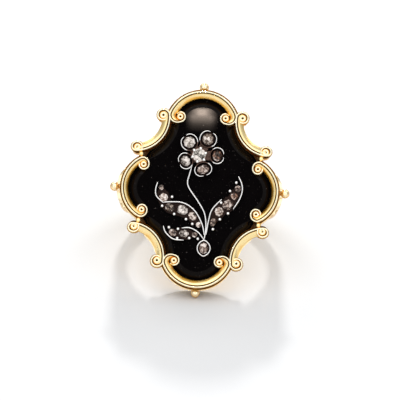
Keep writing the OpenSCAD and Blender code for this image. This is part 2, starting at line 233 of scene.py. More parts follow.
@dataclass(frozen=True)
class RestPose:
    """How the ring lies: on the tray's lower end and the edge of the hoop's worn back, leaning back."""

    sizes: Sizes

    @property
    def lean(self) -> float:
        """How far the face leans back from upright."""
        s = self.sizes
        return math.atan2(s.end_y - s.hoop_back_w / 2, -s.floor_t - s.back_z)

    def matrix(self) -> Matrix:
        """The way from the head's frame in millimetres to the ring as it lies, in metres."""
        s, lean = self.sizes, self.lean

        def laid(y: float, z: float) -> tuple[float, float]:
            """Where a point of the middle plane comes to, back and up."""
            return (y * math.sin(lean) - z * math.cos(lean), y * math.cos(lean) + z * math.sin(lean))

        front_y = s.long_lobe_at + s.long_lobe_r - s.rim_w / 4
        back = -(laid(s.hoop_back_w / 2, s.back_z)[0] + laid(-front_y, s.scroll_top)[0]) / 2
        up = -laid(-s.end_y, -s.floor_t)[1]
        turn = Matrix.Rotation(math.pi / 2 - lean, 4, "X")
        return Matrix.Scale(MILLIMETRE, 4) @ Matrix.Translation((0, back, up)) @ turn


POSE = RestPose(SIZES)
REST = POSE.matrix()


# Making meshes


def by_ring(dark: Sequence[float]) -> Shade:
    """Painted shade and patina of a sweep, given for each of its rings; below zero, a painted highlight."""
    return lambda station, place: dark[station]


def by_point(dark: Sequence[float]) -> Shade:
    """Painted shade and patina of a sweep, given for each point round it; below zero, a painted highlight."""
    return lambda station, place: dark[place]


def even(dark: float) -> Shade:
    """Painted shade and patina, the same over a whole piece."""
    return lambda station, place: dark


class Bench:
    """The modelling operations that the pieces share."""

    @staticmethod
    def clear() -> None:
        """Leaves edit mode and deselects everything."""
        if bpy.context.object and bpy.context.object.mode != "OBJECT":
            bpy.ops.object.mode_set(mode="OBJECT")
        bpy.ops.object.select_all(action="DESELECT")

    @staticmethod
    def only(piece: bpy.types.Object) -> None:
        """Makes one object the selected and active one."""
        Bench.clear()
        piece.select_set(True)
        bpy.context.view_layer.objects.active = piece

    @staticmethod
    def tube(name: str, count: int, stations: int) -> bpy.types.Object:
        """Models a straight tube with both ends closed, 1 high round the frame's middle.

        Args:
            name: the new object's name.
            count: how many sides it has.
            stations: how many rings of points it has.

        Returns:
            The new object.
        """
        Bench.clear()
        bpy.ops.mesh.primitive_cylinder_add(vertices=count, radius=1, depth=1, end_fill_type="NGON")
        piece = bpy.context.object
        piece.name = piece.data.name = name
        bpy.ops.object.mode_set(mode="EDIT")
        bpy.ops.mesh.select_mode(type="EDGE")
        bpy.ops.mesh.select_all(action="DESELECT")
        bpy.ops.object.mode_set(mode="OBJECT")
        for edge in piece.data.edges:
            a, b = (piece.data.vertices[i].co for i in edge.vertices)
            edge.select = abs(a.z - b.z) > 0.5
        bpy.ops.object.mode_set(mode="EDIT")
        if stations > 2:
            bpy.ops.mesh.subdivide_edgering(number_cuts=stations - 2, interpolation="LINEAR")
        bpy.ops.object.mode_set(mode="OBJECT")
        return piece

    @staticmethod
    def sweep(name: str, rings: Sequence[Ring], shade: Shade | None = None,
              closed: bool = False) -> bpy.types.Object:
        """Models a solid through rings of points, all with the same number of points.

        Args:
            name: the new object's name.
            rings: the rings, one after another along the piece.
            shade: how deep painted shade and patina lie, from the ring's and the point's number; below zero,
                a painted highlight.
            closed: whether the last ring meets the first.

        Returns:
            The new object.
        """
        rings = [*rings, rings[0]] if closed else list(rings)
        count, stations = len(rings[0]), len(rings)
        piece = Bench.tube(name, count, stations)
        places = []
        for v in piece.data.vertices:
            place = round(math.atan2(v.co.x, v.co.y) / (2 * math.pi) * count) % count
            places.append((round((v.co.z + 0.5) * (stations - 1)), place))
        for v, (station, place) in zip(piece.data.vertices, places):
            v.co = rings[station][place]
        if shade:
            # This attribute carries painted shade mixed with patina, and painted highlights where it is below
            # zero.
            recess = piece.data.attributes.new("recess", "FLOAT", "POINT")
            for i, (station, place) in enumerate(places):
                recess.data[i].value = shade(station % (stations - closed), place)
        if closed:
            Bench.join_ends(piece)
        Bench.outward(piece)
        return piece

    @staticmethod
    def join_ends(piece: bpy.types.Object) -> None:
        """Takes a closed sweep's two end faces away and merges its ends."""
        Bench.only(piece)
        bpy.ops.object.mode_set(mode="EDIT")
        bpy.ops.mesh.select_mode(type="FACE")
        bpy.ops.mesh.select_all(action="DESELECT")
        bpy.ops.object.mode_set(mode="OBJECT")
        for face in piece.data.polygons:
            face.select = len(face.vertices) > 4
        bpy.ops.object.mode_set(mode="EDIT")
        bpy.ops.mesh.delete(type="FACE")
        bpy.ops.mesh.select_all(action="SELECT")
        bpy.ops.mesh.remove_doubles(threshold=0.0001)
        bpy.ops.object.mode_set(mode="OBJECT")

    @staticmethod
    def outward(piece: bpy.types.Object) -> None:
        """Turns every face of a closed piece outwards."""
        Bench.only(piece)
        bpy.ops.object.mode_set(mode="EDIT")
        bpy.ops.mesh.select_all(action="SELECT")
        bpy.ops.mesh.normals_make_consistent(inside=False)
        bpy.ops.object.mode_set(mode="OBJECT")

    @staticmethod
    def turned(name: str, at: Point | Vector, profile: Sequence[Shaded], count: int) -> bpy.types.Object:
        """Models a turned piece with an upright axis.

        Args:
            name: the new object's name.
            at: the axis's place in plan.
            profile: radius, height and darkness of each ring, from the bottom up and over the top.
            count: how many sides it has.

        Returns:
            The new object.
        """
        rings = [[Vector((at[0] + r * math.cos(2 * math.pi * i / count),
                          at[1] + r * math.sin(2 * math.pi * i / count), z)) for i in range(count)]
                 for r, z, _ in profile]
        return Bench.sweep(name, rings, by_ring([dark for _, _, dark in profile]))

    @staticmethod
    def mirrored(piece: bpy.types.Object, x: bool, y: bool) -> bpy.types.Object:
        """Copies a piece with its own mesh, mirrored across the head.

        Args:
            piece: the piece to copy.
            x: whether left and right change places.
            y: whether top and bottom change places.

        Returns:
            The copy.
        """
        copy = piece.copy()
        copy.data = piece.data.copy()
        bpy.context.scene.collection.objects.link(copy)
        copy.data.transform(Matrix.Diagonal((-1 if x else 1, -1 if y else 1, 1, 1)))
        if x != y:
            copy.data.flip_normals()
        return copy

    @staticmethod
    def joined(name: str, pieces: Sequence[bpy.types.Object]) -> bpy.types.Object:
        """Joins pieces into one object.

        Args:
            name: the joined object's name.
            pieces: the pieces, which it takes in.

        Returns:
            The joined object.
        """
        Bench.clear()
        for piece in pieces:
            piece.select_set(True)
        bpy.context.view_layer.objects.active = pieces[0]
        bpy.ops.object.join()
        whole = bpy.context.object
        whole.name = whole.data.name = name
        return whole

    @staticmethod
    def finish(piece: bpy.types.Object, finish: "Finish", slot: str, *nodes: str,
               smooth_angle: float = 40.0) -> bpy.types.Object:
        """Lays a finished piece down as the ring lies, dresses it and hides the solids that it replaces.

        Args:
            piece: the piece, in the head's frame.
            finish: its finish.
            slot: the record's material slot; not used.
            nodes: the solids that it replaces.
            smooth_angle: edges sharper than this stay sharp, in degrees.

        Returns:
            The piece.
        """
        Bench.only(piece)
        bpy.ops.object.shade_smooth_by_angle(angle=math.radians(smooth_angle))
        piece.data.transform(REST)
        piece.data.materials.clear()
        piece.data.materials.append(finish.material())
        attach(piece, "root")
        if nodes:
            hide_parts(*nodes)
        faces = sum(len(p.vertices) - 2 for p in piece.data.polygons)
        LOG.info("%s: %d triangles", piece.name, faces)
        return piece


# Finishes


class Wire:
    """A node's output, so that shader maths reads as an expression."""

    def __init__(self, nodes: "Nodes", socket: bpy.types.NodeSocket) -> None:
        """Wraps a node's output socket.

        Args:
            nodes: the nodes that it belongs to.
            socket: the output socket.
        """
        self.nodes = nodes
        self.socket = socket

    def math(self, operation: str, a: "Wire | float", b: "Wire | float" = 0.0) -> "Wire":
        """Adds one Math node.

        Args:
            operation: the node's operation.
            a: its first value.
            b: its second value.

        Returns:
            The node's output.
        """
        return self.nodes.node("ShaderNodeMath", {"operation": operation}, {0: a, 1: b})

    def __add__(self, other: "Wire | float") -> "Wire":
        """The sum."""
        return self.math("ADD", self, other)

    __radd__ = __add__

    def __sub__(self, other: "Wire | float") -> "Wire":
        """The difference."""
        return self.math("SUBTRACT", self, other)

    def __rsub__(self, other: float) -> "Wire":
        """The difference from a number."""
        return self.math("SUBTRACT", other, self)

    def __mul__(self, other: "Wire | float") -> "Wire":
        """The product."""
        return self.math("MULTIPLY", self, other)

    __rmul__ = __mul__

    def limited(self) -> "Wire":
        """The value kept between 0 and 1."""
        return self.math("MINIMUM", self.math("MAXIMUM", self, 0.0), 1.0)

    def ramp(self, low: float, high: float) -> "Wire":
        """The value mapped softly from 0 at low to 1 at high.

        Args:
            low: where it is 0.
            high: where it is 1.

        Returns:
            The mapped value.
        """
        return self.nodes.node("ShaderNodeMapRange", {"interpolation_type": "SMOOTHSTEP"},
                               {0: self, 1: low, 2: high})


Value = Wire | float
Colour = tuple[float, float, float]


class Nodes:
    """The nodes of a material or of the surround."""

    def __init__(self, owner: bpy.types.Material | bpy.types.World) -> None:
        """Starts with no nodes.

        Args:
            owner: what the nodes belong to.
        """
        owner.use_nodes = True
        self.tree = owner.node_tree
        self.tree.nodes.clear()

    def feed(self, socket: bpy.types.NodeSocket, value: "Value | Colour") -> None:
        """Links or sets one input socket.

        Args:
            socket: the input socket.
            value: another node's output, a number or a colour.
        """
        if isinstance(value, Wire):
            self.tree.links.new(value.socket, socket)
        elif isinstance(value, tuple) and len(value) == 3 and len(socket.default_value) == 4:
            socket.default_value = (*value, 1.0)
        else:
            socket.default_value = value

    def node(self, kind: str, settings: dict | None = None, inputs: dict | None = None,
             output: int | str = 0) -> Wire:
        """Adds any node.

        Args:
            kind: the node's type.
            settings: its own settings, or "stops" for a ramp's places and colours.
            inputs: the values or links of its sockets, by name or number.
            output: which of its outputs is given back.

        Returns:
            That output.
        """
        made = self.tree.nodes.new(kind)
        for key, value in (settings or {}).items():
            if key != "stops":
                setattr(made, key, value)
                continue
            elements = made.color_ramp.elements
            while len(elements) < len(value):
                elements.new(1.0)
            for element, (place, colour) in zip(elements, value):
                element.position = place
                element.color = (*colour, 1.0)
        for key, value in (inputs or {}).items():
            self.feed(made.inputs[key], value)
        return Wire(self, made.outputs[output])

    def end(self, kind: str, shader: Wire) -> None:
        """Ends the nodes with an output node.

        Args:
            kind: the output node's type.
            shader: what it shows.
        """
        self.tree.links.new(shader.socket, self.tree.nodes.new(kind).inputs["Surface"])


class Paint(Nodes):
    """The nodes of one material."""

    def __init__(self, name: str) -> None:
        """Starts a material.

        Args:
            name: the material's name.
        """
        self.material = bpy.data.materials.new(name)
        super().__init__(self.material)

    def attribute(self, name: str) -> Wire:
        """A piece's own attribute."""
        return self.node("ShaderNodeAttribute", {"attribute_name": name}, output="Fac")

    def place(self) -> Wire:
        """The point's place on the object."""
        return self.node("ShaderNodeTexCoord", output="Object")

    def noise(self, per_millimetre: float, detail: float, roughness: float = 0.5) -> Wire:
        """Soft noise over the object.

        Args:
            per_millimetre: how many of its patches lie along a millimetre.
            detail: how many finer layers it has.
            roughness: how strong the finer layers are.

        Returns:
            The noise, from 0 to 1.
        """
        return self.node("ShaderNodeTexNoise", {},
                         {"Vector": self.place(), "Scale": per_millimetre / MILLIMETRE, "Detail": detail,
                          "Roughness": roughness})

    def cells(self, per_millimetre: float, feature: str, output: str) -> Wire:
        """Cells over the object.

        Args:
            per_millimetre: how many of them lie along a millimetre.
            feature: what is found of them.
            output: the output that gives it.

        Returns:
            That output.
        """
        return self.node("ShaderNodeTexVoronoi", {"feature": feature},
                         {"Vector": self.place(), "Scale": per_millimetre / MILLIMETRE}, output)

    def blend(self, factor: Value, a: "Wire | Colour", b: "Wire | Colour") -> Wire:
        """Mixes two colours.

        Args:
            factor: the share of b.
            a: the first colour.
            b: the second colour.

        Returns:
            The mixed colour.
        """
        return self.node("ShaderNodeMix", {"data_type": "RGBA"}, {0: factor, 6: a, 7: b}, output=2)

    def bump(self, height: Wire, distance: float, strength: float) -> Wire:
        """A normal from a height.

        Args:
            height: the height, from 0 to 1.
            distance: what a height of 1 measures, in millimetres.
            strength: how much of it shows.

        Returns:
            The normal.
        """
        return self.node("ShaderNodeBump", {},
                         {"Height": height, "Distance": distance * MILLIMETRE, "Strength": strength})

    def surface(self, inputs: dict) -> bpy.types.Material:
        """Ends the material with one shader.

        Args:
            inputs: the shader's sockets.

        Returns:
            The material.
        """
        shader = self.node("ShaderNodeBsdfPrincipled", {}, inputs)
        self.end("ShaderNodeOutputMaterial", shader)
        return self.material


@dataclass(frozen=True)
class Finish:
    """A finish, which makes its material once."""

    name: str

    def material(self) -> bpy.types.Material:
        """The finish's material."""
        found = bpy.data.materials.get(self.name)
        return found or self.paint(Paint(self.name))

    def paint(self, paint: Paint) -> bpy.types.Material:
        """Makes the material's nodes.

        Args:
            paint: the empty material.

        Returns:
            The material.
        """
        raise NotImplementedError


@dataclass(frozen=True)
class Gold(Finish):
    """Old polished gold: painted shade and patina darken and warm its recesses, and a painted highlight pales
    its crests.
    """

    bright: Colour = (0.98, 0.78, 0.39)
    warm: Colour = (0.9, 0.46, 0.06)
    dark: Colour = (0.05, 0.022, 0.008)
    # Colour of the painted highlight and wear on crests.
    worn_and_highlight: Colour = (1.0, 0.91, 0.64)
    edge: Colour = (0.85, 0.6, 0.28)
    roughness: float = 0.17

    def paint(self, paint: Paint) -> bpy.types.Material:
        """Makes the material's nodes.

        Args:
            paint: the empty material.

        Returns:
            The material.
        """
        recess = paint.attribute("recess")
        cloud = paint.noise(0.9, 3.0)
        fine = paint.noise(14.0, 3.0, 0.6)
        dents = paint.noise(3.2, 2.0)
        # Painted shade, a painted reflection of the onyx and patina warm the gold where the attribute is
        # high.
        warm_shade_and_patina = (recess * 1.3 + (cloud - 0.5) * 0.7).ramp(0.1, 0.62)
        # Painted shade with soot darkens the deepest recesses.
        painted_shade_and_soot = (recess * 1.2 + (fine - 0.5) * 0.35).ramp(0.55, 0.95)
        # A painted highlight, with wear, pales the crests where the attribute is below zero.
        painted_highlight_and_wear = (0 - recess + (fine - 0.5) * 0.4).ramp(0.1, 0.35)
        colour = paint.blend(warm_shade_and_patina, self.bright, self.warm)
        colour = paint.blend(painted_highlight_and_wear, colour, self.worn_and_highlight)
        colour = paint.blend(painted_shade_and_soot, colour, self.dark)
        rough = (self.roughness + recess * 0.25 + (fine - 0.5) * 0.14).limited()
        normal = paint.bump(dents * 0.7 + fine * 0.3, 0.03, 0.6)
        return paint.surface({"Base Color": colour, "Roughness": rough, "Metallic": 1.0,
                              "Specular Tint": self.edge, "Normal": normal})


@dataclass(frozen=True)
class Onyx(Finish):
    """Polished black onyx, with the faint wear and dust of an old stone."""

    def paint(self, paint: Paint) -> bpy.types.Material:
        """Makes the material's nodes.

        Args:
            paint: the empty material.

        Returns:
            The material.
        """
        cloud = paint.noise(0.35, 3.0)
        fine = paint.noise(9.0, 3.0, 0.6)
        dust = paint.noise(7.0, 1.0).ramp(0.72, 0.79)
        colour = paint.blend(cloud, (0.0014, 0.0011, 0.0012), (0.0034, 0.0027, 0.0028))
        colour = paint.blend(dust * 0.26, colour, (0.32, 0.27, 0.24))
        rough = 0.012 + cloud * 0.012 + dust * 0.1
        normal = paint.bump(fine, 0.001, 0.04)
        return paint.surface({"Base Color": colour, "Roughness": rough, "Metallic": 0.0,
                              "Specular IOR Level": 0.08, "Specular Tint": (1.0, 0.86, 0.76), "IOR": 1.54,
                              "Normal": normal})


@dataclass(frozen=True)
class Silver(Finish):
    """Old silver: bright on its tops, brown and dark where painted shade and tarnish lie."""

    bright: Colour = (0.93, 0.9, 0.86)
    brown: Colour = (0.21, 0.125, 0.095)
    dark: Colour = (0.02, 0.012, 0.01)

    def paint(self, paint: Paint) -> bpy.types.Material:
        """Makes the material's nodes.

        Args:
            paint: the empty material.

        Returns:
            The material.
        """
        recess = paint.attribute("recess")
        cloud = paint.noise(1.6, 3.0)
        fine = paint.noise(12.0, 3.0, 0.6)
        # Painted shade, with tarnish, browns and darkens the silver where the attribute is high.
        tarnish_and_shade = (recess * 1.2 + (cloud - 0.5) * 0.5).ramp(0.2, 0.6)
        # Painted shade with soot darkens the deepest places.
        painted_shade_and_soot = (recess * 1.2 + (fine - 0.5) * 0.5).ramp(0.75, 1.1)
        colour = paint.blend(tarnish_and_shade, self.bright, self.brown)
        colour = paint.blend(painted_shade_and_soot, colour, self.dark)
        rough = (0.24 + recess * 0.3 + (fine - 0.5) * 0.2).limited()
        normal = paint.bump(fine * 0.5 + cloud * 0.5, 0.02, 0.5)
        return paint.surface({"Base Color": colour, "Roughness": rough, "Metallic": 1.0,
                              "Normal": normal})


@dataclass(frozen=True)
class RoseCut(Finish):
    """An old rose-cut diamond: each facet shows a painted glint or a painted dark reflection, with painted
    cloudy and dark windows.
    """

    brightness: float
    middle: Colour
    light: Colour
    dark: Colour = (0.014, 0.007, 0.005)
    white: Colour = (0.85, 0.76, 0.69)
    facet_step: float = 0.06
    windows: float = 2.3

    def paint(self, paint: Paint) -> bpy.types.Material:
        """Makes the material's nodes.

        Args:
            paint: the empty material.

        Returns:
            The material.
        """
        facing = paint.node("ShaderNodeNewGeometry", output="True Normal")
        steps = paint.node("ShaderNodeVectorMath", {"operation": "SNAP"},
                           {0: facing, 1: (self.facet_step,) * 3})
        # Painted reflection: each facet gets its own painted brightness.
        facet_glint = paint.node("ShaderNodeTexWhiteNoise", {"noise_dimensions": "3D"},
                            {"Vector": steps}, output="Value")
        # Painted windows of light and dark inside the stone.
        window = paint.cells(self.windows, "F1", "Color")
        depth = paint.node("ShaderNodeSeparateXYZ", {}, {0: window}, output="X")
        edges = paint.cells(self.windows, "DISTANCE_TO_EDGE", "Distance")
        inside = paint.noise(2.4, 2.0)
        flaws = paint.noise(7.0, 2.0)
        painted_facet_light = facet_glint * 0.45 + depth * 0.7 + (inside - 0.5) * 0.4 + (self.brightness - 0.24)
        painted_facet_light = (painted_facet_light + edges.ramp(0.01, 0.13) * 0.26).limited()
        # From painted dark reflections through the stone's tones to a painted white glint.
        stops = [(0.0, self.dark), (0.3, self.dark), (0.44, self.middle), (0.64, self.light),
                 (0.95, self.white)]
        colour = paint.node("ShaderNodeValToRGB", {"stops": stops}, {"Fac": painted_facet_light}, output="Color")
        rough = 0.04 + flaws * 0.08
        return paint.surface({"Base Color": colour, "Roughness": rough, "Metallic": 0.0,
                              "IOR": 1.7, "Specular IOR Level": 0.32, "Specular Tint": (1, 0.88, 0.78)})


@dataclass(frozen=True)
class Paper(Finish):
    """The pale sheet that the ring lies on."""

    def paint(self, paint: Paint) -> bpy.types.Material:
        """Makes the material's nodes.

        Args:
            paint: the empty material.

        Returns:
            The material.
        """
        cloud = paint.noise(0.02, 2.0)
        colour = paint.blend(cloud, (0.69, 0.685, 0.681), (0.698, 0.695, 0.692))
        return paint.surface({"Base Color": colour, "Roughness": 0.7, "Specular IOR Level": 0.2})


MOUNT_GOLD = Gold("mount_gold", bright=(0.97, 0.79, 0.5), warm=(0.87, 0.58, 0.26),
                  worn_and_highlight=(1.0, 0.88, 0.64), edge=(0.8, 0.6, 0.34), roughness=0.2)
SCROLL_GOLD = Gold("scroll_gold")
BLACK_ONYX = Onyx("black_onyx")
OLD_SILVER = Silver("old_silver")
WHITE_PAPER = Paper("white_paper")


# The gold scroll frame


@dataclass(frozen=True)
class Scroll:
    """One C-scroll: an arc with a volute at each end.

    Middle is the direction of the arc's middle, in degrees. Edge is how deep painted shade lies on the rim's
    outer side, and the band's warmth how deep painted shade, a painted reflection of the onyx and patina lie
    on the hollow band. Every turn is in degrees round a volute.
    """

    name: str
    centre: Point
    r: float
    middle: float
    volutes: tuple[Point, Point]
    volute_r: float
    band_w: float
    edge: float = 0.6
    warm_shade_and_patina: float = 0.4
    crest_r: float = 0.1
    groove_w: float = 0.1
    groove_depth: float = 0.32
    foot_w: float = 0.15
    foot_turn: float = 60.0
    band_low: float = 0.5
    band_high: float = 0.2
    band_least: float = 0.03
    band_turn: float = 95.0
    fade_turn: float = 120.0
    tail_share: float = 0.8
    tail_sink: float = 0.32
    tail_turn: float = 285.0
    eye_inside: float = 0.34
    eye_room: float = 0.42
    floor_inside: float = 0.14
    floor_drop: float = 0.36
    arc_steps: int = 22
    coil_steps: int = 46
    coil_turn: float = 345.0
    lead_turn: float = 130.0
    coil_end_r: float = 0.5

    def coil_r(self, turn: float, start: float) -> float:
        """Distance of the rim from its volute's centre, after a turn round it.

        Args:
            turn: the turn, in degrees.
            start: the distance with no turn.

        Returns:
            The distance.
        """
        end = self.volute_r - SIZES.rim_w / 2
        if turn < self.lead_turn:
            return mix(start, end, smooth(turn / self.lead_turn))
        return mix(end, self.coil_end_r, (turn - self.lead_turn) / (self.coil_turn - self.lead_turn))

    def half(self, volute: Point) -> list[tuple[Vector, Vector, float, float]]:
        """The rim's line from the middle of the arc round one volute.

        Args:
            volute: the volute's centre.

        Returns:
            At each station the point, the outward direction, the turn and the rim's distance there.
        """
        centre, coil = Vector(self.centre), Vector(volute)
        rim_r = self.r - SIZES.rim_w / 2
        end = math.degrees(math.atan2(coil.y - centre.y, coil.x - centre.x))
        bend = wrap(end - self.middle)
        start = rim_r - (coil - centre).length
        line = []
        for i in range(self.arc_steps):
            out = direction(self.middle + bend * i / self.arc_steps)
            line.append((centre + rim_r * out, out, 0.0, start))
        for i in range(self.coil_steps + 1):
            turn = self.coil_turn * i / self.coil_steps
            out = direction(end + math.copysign(turn, bend))
            reach = self.coil_r(turn, start)
            line.append((coil + reach * out, out, turn, reach))
        return line

    def section(self, turn: float, reach: float) -> list[Shaded]:
        """The scroll's section: outward distance, height and how deep painted shade and patina lie; below
        zero, a painted highlight.

        Args:
            turn: the turn round the volute there.
            reach: the rim's distance from the volute's centre.

        Returns:
            The section's points, from the bottom inside round the top to the bottom outside.
        """
        base, top = SIZES.scroll_base, SIZES.scroll_top
        crest = self.crest_r
        sink = self.tail_sink * smooth((turn - self.tail_turn) / (self.coil_turn - self.tail_turn))
        half = SIZES.rim_w / 2 * mix(1.0, self.tail_share, smooth(turn / self.coil_turn))
        free = max(self.band_least, reach - half - self.groove_w - self.eye_room)
        wide = mix(self.band_w, min(self.band_w, free), smooth(turn / self.band_turn))
        edge_z = mix(base + self.band_low, top - self.band_high, smooth(turn / self.fade_turn))
        foot = self.foot_w * (1 - smooth(turn / self.foot_turn))
        start = -half - self.groove_w * 0.7
        groove_z = top - self.groove_depth
        # Painted shade darkens the band's foot and the groove; the band's inner side gets warm painted shade
        # and a painted reflection of the onyx, with patina.
        points = [(start - wide, base, 1.0), (start - wide, base + 0.2, 0.9),
                  (start - wide, edge_z - 0.04, 0.55)]
        for t in (0.96, 0.85, 0.7, 0.54, 0.38, 0.22, 0.08):
            z = mix(top - 0.05, edge_z, t**1.5)
            points.append((start - wide * t, z, self.warm_shade_and_patina * smooth((t - 0.15) / 0.6)))
        points += [(start + 0.005, top - 0.1, 0.35), (start + 0.02, groove_z, 1.0),
                   (-half + 0.005, groove_z, 1.0), (-crest - 0.01, top - crest - 0.03, 0.35)]
        # A painted highlight on the rim's crest.
        points += [(x, z, -0.4) for x, z in arc(0, top - crest, crest, (155, 125, 90, 55, 25))]
        # Painted shade on the rim's outer side and its foot.
        points += [(half * 0.9, top - 0.26, 0.15), (half + 0.01, base + 0.34, self.edge),
                   (half + 0.02, base + 0.2, 0.95), (half + 0.06, base + 0.17, 0.85),
                   (half + foot * 0.75 + 0.03, base + 0.21, self.edge * 0.3),
                   (half + foot + 0.03, base + 0.14, self.edge * 0.5), (half + foot + 0.03, base, 0.9)]
        return [(x, z - sink * smooth((z - base) * 3), dark) for x, z, dark in points]

    def model(self) -> bpy.types.Object:
        """Models the scroll with its two volutes.

        Returns:
            The scroll, in the head's frame.
        """
        first, second = (self.half(v) for v in self.volutes)
        line = first[:0:-1] + second
        sections = [self.section(turn, reach) for _, _, turn, reach in line]
        rings = [laid_across(p, out, [(x, z) for x, z, _ in section])
                 for (p, out, _, _), section in zip(line, sections)]
        parts = [Bench.sweep(self.name, rings, lambda station, place: sections[station][place][2])]
        for i, at in enumerate(self.volutes):
            parts += self.volute(f"{self.name}_volute_{i + 1}", at)
        return Bench.joined(self.name, parts)

    def volute(self, name: str, at: Point) -> list[bpy.types.Object]:
        """Models the floor of a volute and the domed eye in its middle.

        Args:
            name: the new objects' name.
            at: the volute's centre.

        Returns:
            The floor and the eye.
        """
        base, top = SIZES.scroll_base, SIZES.scroll_top
        wide, floor_z = self.volute_r - self.floor_inside, top - self.floor_drop
        # Painted shade on the volute's floor, and a painted highlight on the eye's top.
        floor_profile = [(wide, base + 0.03, 0.8), (wide, floor_z - 0.06, 0.8),
                         (wide - 0.06, floor_z, 1.0), (0.1, floor_z, 1.0)]
        r = self.volute_r - self.eye_inside
        eye_profile = [(r, base + 0.1, 0.9), (r, floor_z, 0.9), (r * 0.94, top - 0.2, 0.4),
                       (r * 0.8, top - 0.1, 0.0), (r * 0.62, top - 0.05, -0.3), (r * 0.42, top - 0.06, -0.3),
                       (r * 0.27, top - 0.11, 0.1), (r * 0.2, top - 0.24, 0.8), (0.03, top - 0.27, 0.9)]
        return [Bench.turned(f"{name}_floor", at, floor_profile, 28),
                Bench.turned(f"{name}_eye", at, eye_profile, 28)]


@dataclass
class ScrollFrame:
    """The frame of eight scrolls, with a bead where each side scroll meets a hollow one."""

    bead_at: Point = (7.2, 4.0)
    bead_r: float = 0.34
    long_scroll: Scroll = Scroll(
        "long_scroll", (0, SIZES.long_lobe_at), SIZES.long_lobe_r, 90, ((2.72, 8.66), (-2.72, 8.66)),
        volute_r=SIZES.inner_volute_r, band_w=0.62)
    side_scroll: Scroll = Scroll(
        "side_scroll", (SIZES.side_lobe_at, 0), SIZES.side_lobe_r, 0, ((6.86, -2.72), (6.86, 2.72)),
        volute_r=SIZES.inner_volute_r, band_w=0.5, warm_shade_and_patina=0.62)
    hollow_scroll: Scroll = Scroll(
        "hollow_scroll", SIZES.hollow, SIZES.hollow_r, 225, SIZES.hollow_volutes,
        volute_r=SIZES.outer_volute_r, band_w=0.66, edge=0.75, warm_shade_and_patina=0.2)

    def build(self) -> bpy.types.Object:
        """Builds and dresses the frame.

        Returns:
            The frame, which replaces its solid.
        """
        top = self.long_scroll.model()
        side = self.side_scroll.model()
        hollow = self.hollow_scroll.model()
        bead = self.bead()
        pieces = [top, Bench.mirrored(top, False, True), side, Bench.mirrored(side, True, False),
                  hollow, bead]
        for x, y in OTHER_QUARTERS:
            pieces += [Bench.mirrored(hollow, x, y), Bench.mirrored(bead, x, y)]
        return Bench.finish(Bench.joined("scroll_frame", pieces), SCROLL_GOLD, "bright_gold", "scroll_border")

    def bead(self) -> bpy.types.Object:
        """Models one bead.

        Returns:
            The bead.
        """
        base, r = SIZES.scroll_base, self.bead_r
        # Painted shade at the bead's foot, with patina.
        profile = [(r, base, 0.9), (r, base + 0.45, 0.7), (r * 0.9, base + 0.62, 0.3),
                   (r * 0.62, base + 0.74, 0.0), (r * 0.25, base + 0.79, 0.0), (0.02, base + 0.8, 0.0)]
        return Bench.turned("bead", self.bead_at, profile, 20)


# The onyx


@dataclass(frozen=True)
class Outline:
    """The head's outline: four lobes joined by a block, less four hollow arcs."""

    long_r: float
    side_r: float
    arc_r: float
    corners: tuple[Point, Point]

    def inset(self, by: float) -> "Outline":
        """The outline drawn in by a distance round its lobes and hollows."""
        return Outline(self.long_r - by, self.side_r - by, self.arc_r + by, self.corners)

    def reach(self, degrees: float) -> float:
        """How far the outline lies from the head's middle.

        Args:
            degrees: the angle from the x axis.

        Returns:
            The distance.
        """
        ray = Vector((abs(direction(degrees).x), abs(direction(degrees).y)))
        far = self.block_reach(ray)
        for at, r in (((0, SIZES.long_lobe_at), self.long_r), ((SIZES.side_lobe_at, 0), self.side_r)):
            found = self.circle_reach(ray, at, r)
            if found:
                far = max(far, found[1])
        hollow = self.circle_reach(ray, SIZES.hollow, self.arc_r)
        return min(far, hollow[0]) if hollow else far

    @staticmethod
    def circle_reach(ray: Vector, at: Point, r: float) -> tuple[float, float] | None:
        """Where a ray from the middle enters and leaves a circle, or None.

        Args:
            ray: the ray's direction.
            at: the circle's centre.
            r: its radius.

        Returns:
            The two distances, or None where it misses.
        """
        centre = Vector(at)
        along = centre.dot(ray)
        inside = r * r - centre.length_squared + along * along
        return (along - math.sqrt(inside), along + math.sqrt(inside)) if inside > 0 else None

    def block_reach(self, ray: Vector) -> float:
        """Where a ray from the middle leaves the block.

        Args:
            ray: the ray's direction, with no negative part.

        Returns:
            The distance.
        """
        a, b = (Vector(c) for c in self.corners)
        normal = Vector((a.y - b.y, b.x - a.x))
        limits = [a.y / ray.y if ray.y > 1e-9 else math.inf, b.x / ray.x if ray.x > 1e-9 else math.inf,
                  normal.dot(a) / normal.dot(ray)]
        return min(limits)

    def ring(self, z: float, count: int) -> Ring:
        """The outline as a ring of points at a height.

        Args:
            z: the height.
            count: how many points.

        Returns:
            The ring.
        """
        turns = [360 * i / count for i in range(count)]
        return [Vector((*(self.reach(a) * direction(a)), z)) for a in turns]


@dataclass
class OnyxPlaque:
    """The black lobed stone with its bevelled edge."""

    count: int = 720
    bevel_out: float = 1.2
    bevel_drop: float = 0.65
    edge_out: float = 0.06
    edge_drop: float = 0.03
    outer: Outline = Outline(3.65, 3.47, 4.1, ((3.85, 8.05), (6.6, 3.8)))

    def build(self) -> bpy.types.Object:
        """Builds and dresses the stone.

        Returns:
            The stone, which replaces its solid.
        """
        top = SIZES.gap + SIZES.onyx_t
        levels = [(0.0, SIZES.gap), (0.0, top - self.bevel_drop),
                  (self.bevel_out - self.edge_out, top - self.edge_drop), (self.bevel_out, top)]
        rings = [self.outer.inset(by).ring(z, self.count) for by, z in levels]
        piece = Bench.sweep("onyx_plaque", rings)
        return Bench.finish(piece, BLACK_ONYX, "onyx", "onyx", smooth_angle=12)


# The silver spray


